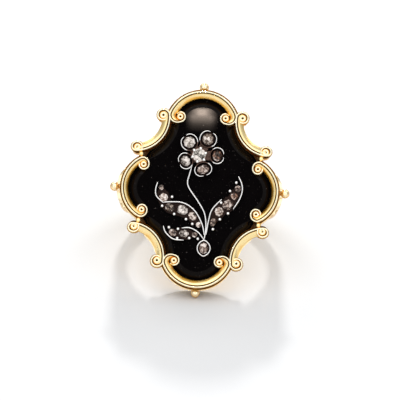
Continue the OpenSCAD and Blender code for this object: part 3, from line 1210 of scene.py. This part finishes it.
@dataclass(frozen=True)
class Stone:
    """A rose-cut stone's place, width, length and turn."""

    x: float
    y: float
    width: float
    length: float
    turn: float

    @property
    def at(self) -> Vector:
        """Its middle in plan."""
        return Vector((self.x, self.y))

    def around(self, out: float, degrees: float) -> Vector:
        """A point round the stone.

        Args:
            out: how far outside the stone.
            degrees: the angle from its own width.

        Returns:
            The point, in plan.
        """
        on = direction(degrees)
        point = Vector(((self.width / 2 + out) * on.x, (self.length / 2 + out) * on.y))
        return self.at + Matrix.Rotation(math.radians(self.turn), 2) @ point


# The stones of each part of the spray, the leaves' from the tip
PETALS = [Stone(-1.49, 5.58, 1.38, 1.40, 129), Stone(0.74, 6.05, 1.40, 1.42, 63),
          Stone(1.91, 4.10, 1.10, 1.32, 1), Stone(0.30, 2.38, 1.08, 1.46, -71),
          Stone(-1.86, 3.31, 1.12, 1.34, 205)]
FLOWER_CENTRE = Stone(-0.27, 4.07, 1.66, 1.66, 0)
BUD = Stone(0.77, -7.05, 1.05, 1.40, 0)
LEFT_LEAF = [Stone(-4.61, 0.03, 0.62, 0.66, 0), Stone(-4.32, -1.12, 1.18, 1.08, -50),
             Stone(-3.49, -2.32, 1.20, 0.95, -15), Stone(-1.97, -2.58, 1.40, 1.18, -20),
             Stone(-0.73, -3.25, 1.15, 0.92, -45), Stone(0.05, -4.27, 0.68, 0.68, 0)]
RIGHT_LEAF = [Stone(4.54, 0.26, 0.76, 0.82, 0), Stone(4.16, -0.66, 0.82, 0.94, 40),
              Stone(3.44, -1.74, 1.38, 1.24, 45), Stone(2.42, -2.58, 1.14, 1.06, 50),
              Stone(1.74, -3.91, 1.08, 0.76, 65)]
LOW_LEAF = [Stone(-3.03, -5.34, 1.00, 0.82, -30), Stone(-1.66, -5.39, 1.18, 0.95, 0),
            Stone(-0.38, -5.48, 0.66, 0.66, 0)]

# The points that the stem and the wires along the leaves pass through
STEM = [(-1.0, 3.1), (-1.32, 1.7), (-1.5, 0.9), (-1.3, 0.1), (-0.2, -1.4), (0.63, -2.73), (0.9, -4.0),
        (0.9, -5.1), (0.76, -6.05)]
LEAF_WIRES = [
    [(-5.08, 0.64), (-5.29, -0.24), (-5.13, -1.06), (-4.29, -1.8)],
    [(-4.29, -1.75), (-3.4, -1.66), (-1.9, -1.72), (-0.54, -2.56), (0.41, -4.08), (0.78, -5.5)],
    [(4.55, 1.75), (4.98, 0.9), (5.09, 0.0), (4.8, -1.0), (4.08, -2.23)],
    [(2.68, -1.07), (1.57, -2.37), (1.19, -3.83), (0.98, -5.4)],
    [(-4.18, -4.58), (-3.85, -5.35), (-2.93, -6.09), (-1.67, -6.18)],
    [(-1.94, -4.74), (-1.0, -4.68), (0.0, -5.15), (0.76, -6.05)],
]

# The places of the grains beside the leaves
GRAINS = [(-3.28, -1.05), (-4.42, -2.18), (-2.94, -3.1), (-1.5, -3.66), (-0.72, -4.2), (4.34, 0.99),
          (3.62, -0.05), (2.62, -1.5), (3.5, -2.74), (2.55, -3.5), (1.77, -4.72), (-3.5, -4.72),
          (-2.4, -4.86), (-1.01, -5.91), (-2.45, -5.98), (0.02, -5.95)]

# The angles of the points over a rounded top
ROUND_TOP = (20, 55, 90, 125, 160)


@dataclass
class SilverSpray:
    """The flower, its stem, leaves and bud, all of silver."""

    sheet_z: float = SIZES.spray_z
    sheet_t: float = 0.2
    petal_z: float = SIZES.spray_z + 0.45
    centre_z: float = SIZES.spray_z + 0.75
    wire_h: float = 0.5
    wire_w: float = 0.19
    wire_foot: float = 0.02
    curve_steps: int = 8
    grain_r: float = 0.19
    plate_margin: float = 0.2
    collet_foot: float = 0.05
    collet_out: float = 0.28
    collet_h: float = 0.27
    lip_r: float = 0.06
    collet_steps: int = 44
    notch: float = 12.0
    strap_half_w: float = 0.55
    strap_h: float = 0.3
    claw_count: int = 6
    bud_half_w: float = 0.86
    bud_half_l: float = 1.06
    bud_lip_r: float = 0.07
    bud_steps: int = 48
    # Painted shade with tarnish on the plates, floors and straps between the stones.
    plate_shade_and_tarnish: float = 0.92
    floor_shade_and_tarnish: float = 0.95
    strap_shade_and_tarnish: float = 0.78

    def build(self) -> bpy.types.Object:
        """Builds and dresses the spray.

        Returns:
            The spray, which replaces its solid.
        """
        parts = [self.leaf_plate(f"leaf_plate_{i + 1}", leaf)
                 for i, leaf in enumerate((LEFT_LEAF, RIGHT_LEAF, LOW_LEAF))]
        parts.append(self.wire("stem", STEM, self.wire_w))
        parts += [self.wire(f"leaf_wire_{i + 1}", line, self.wire_w * 0.95)
                  for i, line in enumerate(LEAF_WIRES)]
        parts += [self.grain(f"grain_{i + 1}", at) for i, at in enumerate(GRAINS)]
        for i, stone in enumerate(PETALS):
            parts += self.petal(f"petal_{i + 1}", stone)
        parts += self.flower_middle()
        parts += self.bud()
        return Bench.finish(Bench.joined("silver_flower", parts), OLD_SILVER, "silver", "silver_spray",
                            smooth_angle=50)

    def leaf_plate(self, name: str, leaf: Sequence[Stone]) -> bpy.types.Object:
        """Models the sheet under a leaf's stones.

        Args:
            name: the new object's name.
            leaf: the leaf's stones, from its tip.

        Returns:
            The plate.
        """
        line = smooth_curve([(stone.x, stone.y) for stone in leaf], self.curve_steps)
        low, high = self.sheet_z, self.sheet_z + self.sheet_t
        rings = []
        last = len(line) - 1
        for i, p in enumerate(line):
            stone = leaf[min(len(leaf) - 1, round(i / self.curve_steps))]
            half = min(stone.width, stone.length) / 2 + self.plate_margin
            half *= mix(0.35, 1.0, smooth(min(i, last - i) / 4))
            section = [(-half, low), (half, low), (half, high), (-half, high)]
            rings.append(laid_across(p, right_of(line, i), section))
        return Bench.sweep(name, rings, even(self.plate_shade_and_tarnish))

    def wire(self, name: str, points: Sequence[Point], width: float) -> bpy.types.Object:
        """Models a wire along a curve, rounded on top and thinner at its ends.

        Args:
            name: the new object's name.
            points: the points that it passes through.
            width: its width.

        Returns:
            The wire.
        """
        line = smooth_curve(points, self.curve_steps)
        last = len(line) - 1
        foot, top = self.sheet_z + self.wire_foot, self.sheet_z + self.wire_h
        rings = []
        for i, p in enumerate(line):
            end = smooth((min(i, last - i) + 0.6) / 5)
            half = width / 2 * mix(0.45, 1.0, end)
            crown = top - 0.08 * (1 - end)
            r = 0.85 * half
            section = [(-half, foot), (half, foot), (half, crown - 2 * half),
                       *arc(0, crown - r, r, ROUND_TOP), (-half, crown - 2 * half)]
            rings.append(laid_across(p, right_of(line, i), section))
        # Painted shade with tarnish on the wire's flanks and foot; its top stays bright.
        dark = [0.95, 0.95, 0.8, 0.4, 0.0, 0.0, 0.0, 0.4, 0.8]
        return Bench.sweep(name, rings, by_point(dark))

    def grain(self, name: str, at: Point) -> bpy.types.Object:
        """Models a grain of silver.

        Args:
            name: the new object's name.
            at: its place in plan.

        Returns:
            The grain.
        """
        r, foot, top = self.grain_r, self.sheet_z + self.wire_foot, self.sheet_z + self.wire_h
        # Painted shade with tarnish at the grain's foot.
        profile = [(r, foot, 0.9), (r, top - 0.18, 0.45), (r * 0.92, top - 0.1, 0.1),
                   (r * 0.7, top - 0.035, 0.0), (r * 0.4, top - 0.008, 0.0), (0.02, top, 0.0)]
        return Bench.turned(name, at, profile, 16)

    def petal(self, name: str, stone: Stone) -> list[bpy.types.Object]:
        """Models a petal: the open collet round its stone, its floor and the strap to the middle.

        Args:
            name: the new objects' name.
            stone: the petal's stone.

        Returns:
            The petal's parts.
        """
        rings = []
        inner = []
        steps, r = self.collet_steps, self.lip_r
        foot, top = self.sheet_z + self.collet_foot, self.petal_z + self.collet_h
        toward = (FLOWER_CENTRE.at - stone.at).normalized()
        for i in range(steps + 1):
            a = mix(self.notch, 360 - self.notch, i / steps)
            dip = 1 - 0.12 * math.exp(-((wrap(a) / 22) ** 2))
            middle = stone.at + dip * (stone.around(self.collet_out, a) - stone.at)
            out = (middle - stone.at).normalized()
            # How far this point faces the flower's middle, where painted shade deepens.
            inner.append(smooth((out.dot(toward) - 0.35) / 0.5))
            thin = mix(0.55, 1.0, smooth((min(i, steps - i) + 0.5) / 3)) * mix(1.0, 0.6, inner[-1])
            section = [(-0.05, foot), (0.09, foot), (0.06, top - 0.16),
                       *arc(0.02, top - r, r * thin, range(-30, 211, 40)), (-0.03, top - 0.16)]
            rings.append(laid_across(middle, out, section))
        # Painted shade with tarnish on the collet's flanks and on its side toward the flower's middle.
        dark = [1.0, 0.95, 0.8, 0.5, 0.1, 0.0, 0.0, 0.0, 0.1, 0.5, 0.95]
        collet = Bench.sweep(f"{name}_collet", rings,
                             lambda station, place: max(dark[place], 0.75 * inner[station]))
        levels = ((1, self.sheet_z), (1, self.sheet_z + 0.32), (0.9, self.petal_z - 0.04))
        floor_rings = [[Vector((*(stone.at + share * (stone.around(0.24, a) - stone.at)), z))
                        for a in range(0, 360, 10)] for share, z in levels]
        floor = Bench.sweep(f"{name}_floor", floor_rings, even(self.floor_shade_and_tarnish))
        return [collet, floor, self.strap(f"{name}_strap", stone)]

    def strap(self, name: str, stone: Stone) -> bpy.types.Object:
        """Models the strap from a petal to the flower's middle.

        Args:
            name: the new object's name.
            stone: the petal's stone.

        Returns:
            The strap.
        """
        a, b = stone.at, FLOWER_CENTRE.at
        half, low, high = self.strap_half_w, self.sheet_z, self.sheet_z + self.strap_h
        section = [(-half, low), (half, low), (half, high), (-half, high)]
        rings = [laid_across(p, right_of((a, b), 0), section) for p in (a, b)]
        return Bench.sweep(name, rings, even(self.strap_shade_and_tarnish))

    def flower_middle(self) -> list[bpy.types.Object]:
        """Models the drum under the centre stone and the claws that hold it.

        Returns:
            The parts.
        """
        at = FLOWER_CENTRE.at
        r = FLOWER_CENTRE.width / 2
        seat = self.centre_z - SIZES.gap
        # Painted shade with tarnish on the drum's sides.
        profile = [(r * 0.92, self.sheet_z, 0.95), (r * 0.9, seat - 0.3, 0.9), (r, seat - 0.12, 0.75),
                   (r * 1.04, seat - 0.03, 0.5), (r, seat, 0.6), (0.05, seat, 0.9)]
        parts = [Bench.turned("drum", at, profile, 36)]
        for i in range(self.claw_count):
            out = direction(360 * (i + 0.3) / self.claw_count)
            parts.append(self.claw(f"claw_{i + 1}", at, out, r))
        return parts

    def claw(self, name: str, at: Vector, out: Vector, r: float) -> bpy.types.Object:
        """Models one round-headed claw that leans over the centre stone.

        Args:
            name: the new object's name.
            at: the flower's middle.
            out: the claw's direction from it.
            r: the drum's radius.

        Returns:
            The claw.
        """
        path = [(r * 0.99, self.sheet_z + 0.35, 0.11), (r * 1.05, self.centre_z - 0.12, 0.13),
                (r * 1.04, self.centre_z + 0.08, 0.16), (r * 1.0, self.centre_z + 0.22, 0.19),
                (r * 0.97, self.centre_z + 0.33, 0.18), (r * 0.95, self.centre_z + 0.4, 0.11),
                (r * 0.94, self.centre_z + 0.42, 0.02)]
        side = Vector((-out.y, out.x))
        rings = [[Vector((*(at + (reach + thick * direction(a).x) * out + thick * direction(a).y * side), z))
                  for a in range(0, 360, 30)] for reach, z, thick in path]
        # Painted shade with tarnish at the claw's foot.
        dark = [0.9, 0.5, 0.1, 0.0, 0.0, 0.0, 0.0]
        return Bench.sweep(name, rings, by_ring(dark))

    def bud(self) -> list[bpy.types.Object]:
        """Models the bud's pointed collet and its floor.

        Returns:
            The parts.
        """
        low, foot = self.sheet_z, self.sheet_z + self.collet_foot
        top, r = self.sheet_z + self.wire_h, self.bud_lip_r
        line = self.bud_outline(0.9)
        section = [(-r, foot), (0.1, foot), (0.08, top - 0.12), *arc(0, top - r, r, ROUND_TOP),
                   (-r, top - 0.12)]
        # Painted shade with tarnish on the bud collet's flanks and foot.
        dark = [1.0, 0.9, 0.4, 0.0, 0.0, 0.0, 0.0, 0.1, 0.8]
        rings = [laid_across(p, -right_of(line, i, closed=True), section) for i, p in enumerate(line)]
        collet = Bench.sweep("bud_collet", rings, by_point(dark), closed=True)
        floor_line = self.bud_outline(0.88)
        floor_rings = [[Vector((*p, z)) for p in floor_line] for z in (low, low + self.sheet_t)]
        floor = Bench.sweep("bud_floor", floor_rings, even(self.floor_shade_and_tarnish))
        return [collet, floor]

    def bud_outline(self, scale: float) -> list[Vector]:
        """The bud's outline, pointed at both ends.

        Args:
            scale: its size, as a share of the whole bud's.

        Returns:
            The outline's points, in plan.
        """
        points = []
        for i in range(self.bud_steps):
            a = math.radians(360 * i / self.bud_steps)
            across = math.sin(a) * abs(math.sin(a)) ** 0.4
            points.append(BUD.at + scale * Vector((self.bud_half_w * across, self.bud_half_l * math.cos(a))))
        return points


# The cut stones


class Tint(Enum):
    """How a stone looks: the brightness of its painted facet light, and the colours of its middle and light
    tones, which mix its own colour with painted reflections.
    """

    CLEAR = (0.18, (0.26, 0.22, 0.18), (0.5, 0.44, 0.38))
    WHITE = (0.17, (0.24, 0.22, 0.19), (0.46, 0.43, 0.38))
    GREY = (0.02, (0.17, 0.14, 0.12), (0.4, 0.35, 0.31))
    ROSE = (0.03, (0.15, 0.095, 0.075), (0.42, 0.31, 0.25))
    SMOKE = (-0.05, (0.13, 0.09, 0.065), (0.3, 0.23, 0.18))
    BROWN = (-0.1, (0.1, 0.03, 0.012), (0.36, 0.19, 0.12))


@dataclass
class Stones:
    """The cut stones: their own solids, each dressed with its tint."""

    tints: dict[str, Tint] = field(default_factory=lambda: {
        "flower_center_diamond": Tint.WHITE, "petal_diamond_1": Tint.CLEAR,
        "petal_diamond_2": Tint.SMOKE, "petal_diamond_3": Tint.BROWN, "petal_diamond_4": Tint.ROSE,
        "petal_diamond_5": Tint.GREY, "right_leaf_diamond_2": Tint.BROWN,
        "left_leaf_diamond_3": Tint.SMOKE, "left_leaf_diamond_4": Tint.GREY,
        "low_leaf_diamond_2": Tint.GREY})

    def dress(self) -> None:
        """Gives every stone its finish."""
        for name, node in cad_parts.items():
            if "diamond" not in name:
                continue
            tint = self.tints.get(name, Tint.ROSE)
            finish = RoseCut(f"rose_cut_{tint.name.lower()}", *tint.value)
            node.data.materials.clear()
            node.data.materials.append(finish.material())
            LOG.info("%s: %s", name, tint.name.lower())


# The gold mount


@dataclass
class RingMount:
    """The hoop with its shoulders, the tray that holds the onyx, its posts and its finials."""

    ledge_h: float = 0.3
    ledge_inside: float = 1.15
    wall_inside: float = 0.85
    corners: tuple[Point, Point] = ((4.6, 8.3), (7.3, 4.5))
    pocket: Outline = Outline(3.68, 3.5, 4.07, ((3.88, 8.08), (6.63, 3.83)))
    post_inside: float = 0.15
    count: int = 360
    hoop_steps: int = 160
    hoop_sides: tuple[float, ...] = (1, 0.98, 0.93, 0.85, 0.74, 0.6, 0.42, 0.22, 0)
    shoulder_drop: float = 1.3
    edge_drop: float = 0.06
    hoop_under: float = 0.02
    long_finial_at: float = 12.4
    side_finial_at: float = 10.25
    finial_r: float = 0.55
    finial_z: float = 1.2
    strand_r: float = 0.17
    strand_steps: int = 8
    strand_back: Point = (0.1, 1.3)
    strand_splay: Point = (0.3, 0.52)
    strand_growth: Point = (1.1, 1.3)

    def build(self) -> bpy.types.Object:
        """Builds and dresses the mount.

        Returns:
            The mount, which replaces its solid.
        """
        parts = [self.hoop(), self.tray()]
        post_r = SIZES.outer_volute_r - self.post_inside
        for at in SIZES.hollow_volutes:
            # Painted shade with patina on the posts.
            profile = [(post_r, -SIZES.floor_t, 0.35), (post_r, SIZES.wall_h, 0.35)]
            post = Bench.turned("post", at, profile, 32)
            parts.append(post)
            parts += [Bench.mirrored(post, x, y) for x, y in OTHER_QUARTERS]
        for distance, turn in ((self.long_finial_at, 90), (self.long_finial_at, -90),
                               (self.side_finial_at, 0), (self.side_finial_at, 180)):
            parts += self.finial(distance, turn)
        return Bench.finish(Bench.joined("gold_mount", parts), MOUNT_GOLD, "gold", "ring_mount",
                            smooth_angle=35)

    def tray(self) -> bpy.types.Object:
        """Models the tray: its floor with a ledge, its wall and the pocket for the onyx.

        Returns:
            The tray.
        """
        s = SIZES
        ledge = Outline(s.long_lobe_r + s.ledge_out, s.side_lobe_r + s.ledge_out,
                        s.hollow_r - self.ledge_inside, self.corners)
        wall = Outline(s.long_lobe_r, s.side_lobe_r, s.hollow_r - self.wall_inside, self.corners)
        # Painted shade with patina: darker on the wall under the scrolls and in the pocket under the onyx.
        steps = [(ledge, -s.floor_t, 0.2), (ledge, self.ledge_h - 0.06, 0.1), (wall, self.ledge_h, 0.7),
                 (wall, s.wall_h, 0.4), (self.pocket, s.wall_h, 0.9), (self.pocket, 0.0, 1.0)]
        rings = [outline.ring(z, self.count) for outline, z, _ in steps]
        return Bench.sweep("tray", rings, by_ring([dark for _, _, dark in steps]))

    def hoop(self) -> bpy.types.Object:
        """Models the hoop and its shoulders, round the finger hole.

        Returns:
            The hoop.
        """
        s = SIZES
        rings = []
        sides = (*self.hoop_sides, *(-side for side in self.hoop_sides[-2::-1]))
        for i in range(self.hoop_steps):
            out = direction(360 * i / self.hoop_steps)
            x, z = s.finger_r * out.x, s.hoop_z + s.finger_r * out.y
            half = s.width_at(z) / 2
            ring = [Vector((x, side * half, z)) for side in (-1, -0.5, 0, 0.5, 1)]
            rings.append(ring + [self.outside(out, side) for side in sides])
        # Painted shade with patina at the edges of the hoop's inside and outside.
        dark = [0.3] + [0.0] * 3 + [0.3, 0.2] + [0.0] * (len(rings[0]) - 7) + [0.2]
        return Bench.sweep("hoop", rings, by_point(dark), closed=True)

    def outside(self, out: Vector, side: float) -> Vector:
        """A point of the hoop's outside.

        Args:
            out: the direction from the finger hole's middle, across and up.
            side: the place across the width, from -1 to 1.

        Returns:
            The point.
        """
        s = SIZES
        z = s.hoop_z + s.hoop_r * out.y
        reach = s.hoop_r
        for _ in range(4):
            y = side * s.width_at(max(s.back_z, min(z, 0.0))) / 2
            round_off = self.shoulder_drop * abs(2 * y / s.shoulder_w) ** 3 * smooth(1 + out.y)
            dome = s.dome_at(y) - self.edge_drop * smooth((abs(side) - 0.85) / 0.15) - round_off
            if out.y <= 0:
                reach = min(dome, (s.back_z - s.hoop_z) / min(out.y, -1e-6))
            else:
                reach = min(dome / max(abs(out.x), 1e-6), (-s.hoop_z - self.hoop_under) / out.y)
            z = s.hoop_z + reach * out.y
        return Vector((reach * out.x, y, z))

    def finial(self, distance: float, turn: float) -> list[bpy.types.Object]:
        """Models a ball-ended finial on its two strands.

        Args:
            distance: how far the ball lies from the head's middle.
            turn: its direction, in degrees.

        Returns:
            The parts.
        """
        out = direction(turn)
        side = Vector((-out.y, out.x))
        rises = range(-84, 85, 12)
        # Painted shade: the ball darkens towards its foot and rim, fading out over its top.
        shades = [0.5 * (1 - smooth((a - 15) / 52)) for a in rises]
        ball = arc(0, self.finial_z, self.finial_r, rises)
        profile = [(*point, shade) for point, shade in zip(ball, shades)]
        parts = [Bench.turned("finial_ball", distance * out, profile, 28)]
        for way in (-1, 1):
            rings = []
            for i in range(self.strand_steps + 1):
                t = i / self.strand_steps
                splay = way * mix(*self.strand_splay, smooth(t))
                middle = (distance - mix(*self.strand_back, t)) * out + splay * side
                r = self.strand_r * mix(*self.strand_growth, t)
                rings.append(laid_across(middle, side, arc(0, self.finial_z, r, range(0, 360, 30))))
            # Light painted shade with patina on the strands.
            parts.append(Bench.sweep("finial_strand", rings, even(0.1)))
        return parts


# The studio


WARM_WHITE = (1.0, 0.965, 0.91)
WHITE = (1.0, 1.0, 1.0)


@dataclass(frozen=True)
class SoftBox:
    """A lamp beside the ring: its direction from the head, its size in metres, its power and colour."""

    name: str
    way: tuple[float, float, float]
    size: Point
    watts: float
    colour: Colour = WARM_WHITE


@dataclass(frozen=True)
class Strip:
    """One strip of the lamp that the onyx's flat face mirrors.

    Its mirror image has its place up the face and its height in millimetres, and its width as a share of the
    glint's.
    """

    up: float
    height: float
    widening: float
    radiance: float


@dataclass
class Studio:
    """The floor, the lights and the camera, at the photograph's angle to the face."""

    distance: float = 0.35
    below_normal: float = 3.87
    roll: float = 2.55
    sensor: float = 36.0
    millimetres_a_pixel: float = 0.12
    pixels: int = 400
    head_pixel: Point = (199.8, 189.5)
    sky: Colour = (0.92, 0.953, 1.0)
    sky_low: float = 0.43
    sky_high: float = 0.66
    sky_front: float = 0.95
    sky_hole: float = 0.01
    hole_turns: Point = (6.0, 12.0)
    box_distance: float = 0.5
    boxes: tuple[SoftBox, ...] = (
        SoftBox("left_box", (-0.5, 0.62, 0.62), (0.26, 0.26), 0.45),
        SoftBox("right_box", (0.6, 0.55, 0.62), (0.26, 0.26), 0.45),
        SoftBox("back_box", (-0.02, 0.8, 0.57), (0.05, 0.05), 1.15, WHITE),
        SoftBox("top_box", (-0.08, -0.18, 0.9), (0.7, 0.3), 0.46))
    glint_x: float = -0.15
    glint_w: float = 3.0
    glint_colour: Colour = (1.0, 0.94, 0.88)
    glint_spread: tuple[Point, ...] = ((0.8, 0.42), (1.0, 0.33), (1.2, 0.25))
    glint_behind: float = 0.1
    glint_strips: tuple[Strip, ...] = (
        Strip(9.35, 0.9, 1.0, 25.0), Strip(9.35, 0.85, 0.6, 26.0), Strip(9.3, 0.75, 0.34, 26.0),
        Strip(8.75, 0.3, 1.0, 40.0), Strip(8.45, 0.3, 1.0, 28.0), Strip(8.15, 0.3, 1.0, 16.5),
        Strip(7.85, 0.3, 1.0, 7.5), Strip(7.55, 0.3, 1.0, 4.0), Strip(7.25, 0.3, 1.0, 2.0))

    def build(self) -> None:
        """Sets the whole studio up."""
        self.floor()
        self.world()
        self.camera()
        self.lights()

    def floor(self) -> None:
        """Lays the pale floor."""
        Bench.clear()
        bpy.ops.mesh.primitive_grid_add(x_subdivisions=8, y_subdivisions=8, size=6)
        floor = bpy.context.object
        floor.name = "floor"
        floor.data.materials.append(WHITE_PAPER.material())

    def head(self) -> Vector:
        """The middle of the onyx's face as the ring lies."""
        return REST @ Vector((0, 0, SIZES.onyx_t))

    def toward_camera(self) -> Vector:
        """The direction from the head to the camera."""
        rise = POSE.lean - math.radians(self.below_normal)
        return Vector((0, -math.cos(rise), math.sin(rise)))

    def mirrored(self, view: Vector) -> Vector:
        """The direction that the onyx's flat face mirrors into a line of sight.

        Args:
            view: the direction from the face to the eye.

        Returns:
            The mirrored direction.
        """
        normal = (REST.to_3x3() @ Vector((0, 0, 1))).normalized()
        return 2 * normal.dot(view) * normal - view

    def camera(self) -> None:
        """Places the camera so that the head's middle falls on its pixel."""
        data = bpy.data.cameras.new("camera")
        camera = bpy.data.objects.new("camera", data)
        bpy.context.scene.collection.objects.link(camera)
        width = self.pixels * self.millimetres_a_pixel * MILLIMETRE
        data.sensor_width = data.sensor_height = self.sensor
        data.lens = self.sensor * self.distance / width
        data.clip_start = 0.01
        camera.matrix_world = self.camera_place()
        bpy.context.scene.camera = camera

    def camera_place(self) -> Matrix:
        """Where the camera stands and how it is turned."""
        turn = (-self.toward_camera()).to_track_quat("-Z", "Y").to_matrix()
        turn = turn @ Matrix.Rotation(math.radians(self.roll), 3, "Z")
        right = (self.head_pixel[0] - self.pixels / 2) * self.millimetres_a_pixel * MILLIMETRE
        up = (self.pixels / 2 - self.head_pixel[1]) * self.millimetres_a_pixel * MILLIMETRE
        place = self.head() + self.distance * self.toward_camera() - turn @ Vector((right, up, 0))
        return Matrix.Translation(place) @ turn.to_4x4()

    def world(self) -> None:
        """Sets a soft pale surround, dark only where the onyx's flat face mirrors it."""
        world = bpy.data.worlds.new("surround")
        bpy.context.scene.world = world
        nodes = Nodes(world)
        way = nodes.node("ShaderNodeTexCoord", output="Generated")
        near = nodes.node("ShaderNodeVectorMath", {"operation": "DOT_PRODUCT"},
                          {0: way, 1: self.mirrored(self.toward_camera())}, output="Value")
        height = nodes.node("ShaderNodeSeparateXYZ", {}, {0: way}, output="Z")
        rise = self.sky_low + height.ramp(-0.05, 0.75) * (self.sky_high - self.sky_low)
        front = near.ramp(0.3, 0.85) * self.sky_front
        inner, outer = (math.cos(math.radians(turn)) for turn in self.hole_turns)
        hole = self.sky_hole + near.ramp(inner, outer) * (1 - self.sky_hole)
        sky = nodes.node("ShaderNodeBackground", {}, {"Color": self.sky, "Strength": (rise + front) * hole})
        nodes.end("ShaderNodeOutputWorld", sky)

    def lights(self) -> None:
        """Hangs the soft boxes and the strips that the onyx mirrors."""
        for box in self.boxes:
            place = self.head() + self.box_distance * Vector(box.way).normalized()
            self.lamp(box.name, place, box.size, box.watts, box.colour)
        for i, strip in enumerate(self.glint_strips):
            self.glint(i + 1, strip)

    def glint(self, number: int, strip: Strip) -> None:
        """Hangs one strip as lamps of three widths, so that it is weaker to its sides.

        Args:
            number: its number. Each lamp hangs a little behind the one before.
            strip: the strip.
        """
        spot = REST @ Vector((self.glint_x, strip.up, SIZES.onyx_t))
        view = (self.camera_place().translation - spot).normalized()
        length = 2 * strip.height * MILLIMETRE
        for i, (spread, share) in enumerate(self.glint_spread):
            width = 2 * strip.widening * spread * self.glint_w * MILLIMETRE
            behind = self.glint_behind * (len(self.glint_spread) * number + i) * MILLIMETRE
            place = spot + (self.distance + behind) * self.mirrored(view)
            watts = share * strip.radiance * math.pi * width * length
            self.lamp(f"glint_{number}_{i + 1}", place, (width, length), watts, self.glint_colour)

    def lamp(self, name: str, place: Vector, size: Point, watts: float, colour: Colour) -> None:
        """Hangs one lamp that faces the ring.

        Args:
            name: its name.
            place: its place, in metres.
            size: its width and height, in metres.
            watts: its power.
            colour: its colour.
        """
        data = bpy.data.lights.new(name, "AREA")
        data.shape = "RECTANGLE"
        data.size, data.size_y = size
        data.energy = watts
        data.color = colour
        lamp = bpy.data.objects.new(name, data)
        bpy.context.scene.collection.objects.link(lamp)
        turn = (self.head() - place).to_track_quat("-Z", "Y").to_matrix().to_4x4()
        lamp.matrix_world = Matrix.Translation(place) @ turn


def main() -> None:
    """Builds the ring and its studio."""
    logging.basicConfig(level=logging.INFO, format="%(message)s")
    RingMount().build()
    ScrollFrame().build()
    OnyxPlaque().build()
    SilverSpray().build()
    Stones().dress()
    Studio().build()
    bpy.context.scene.view_settings.view_transform = "Standard"


if __name__ == "__main__":
    main()
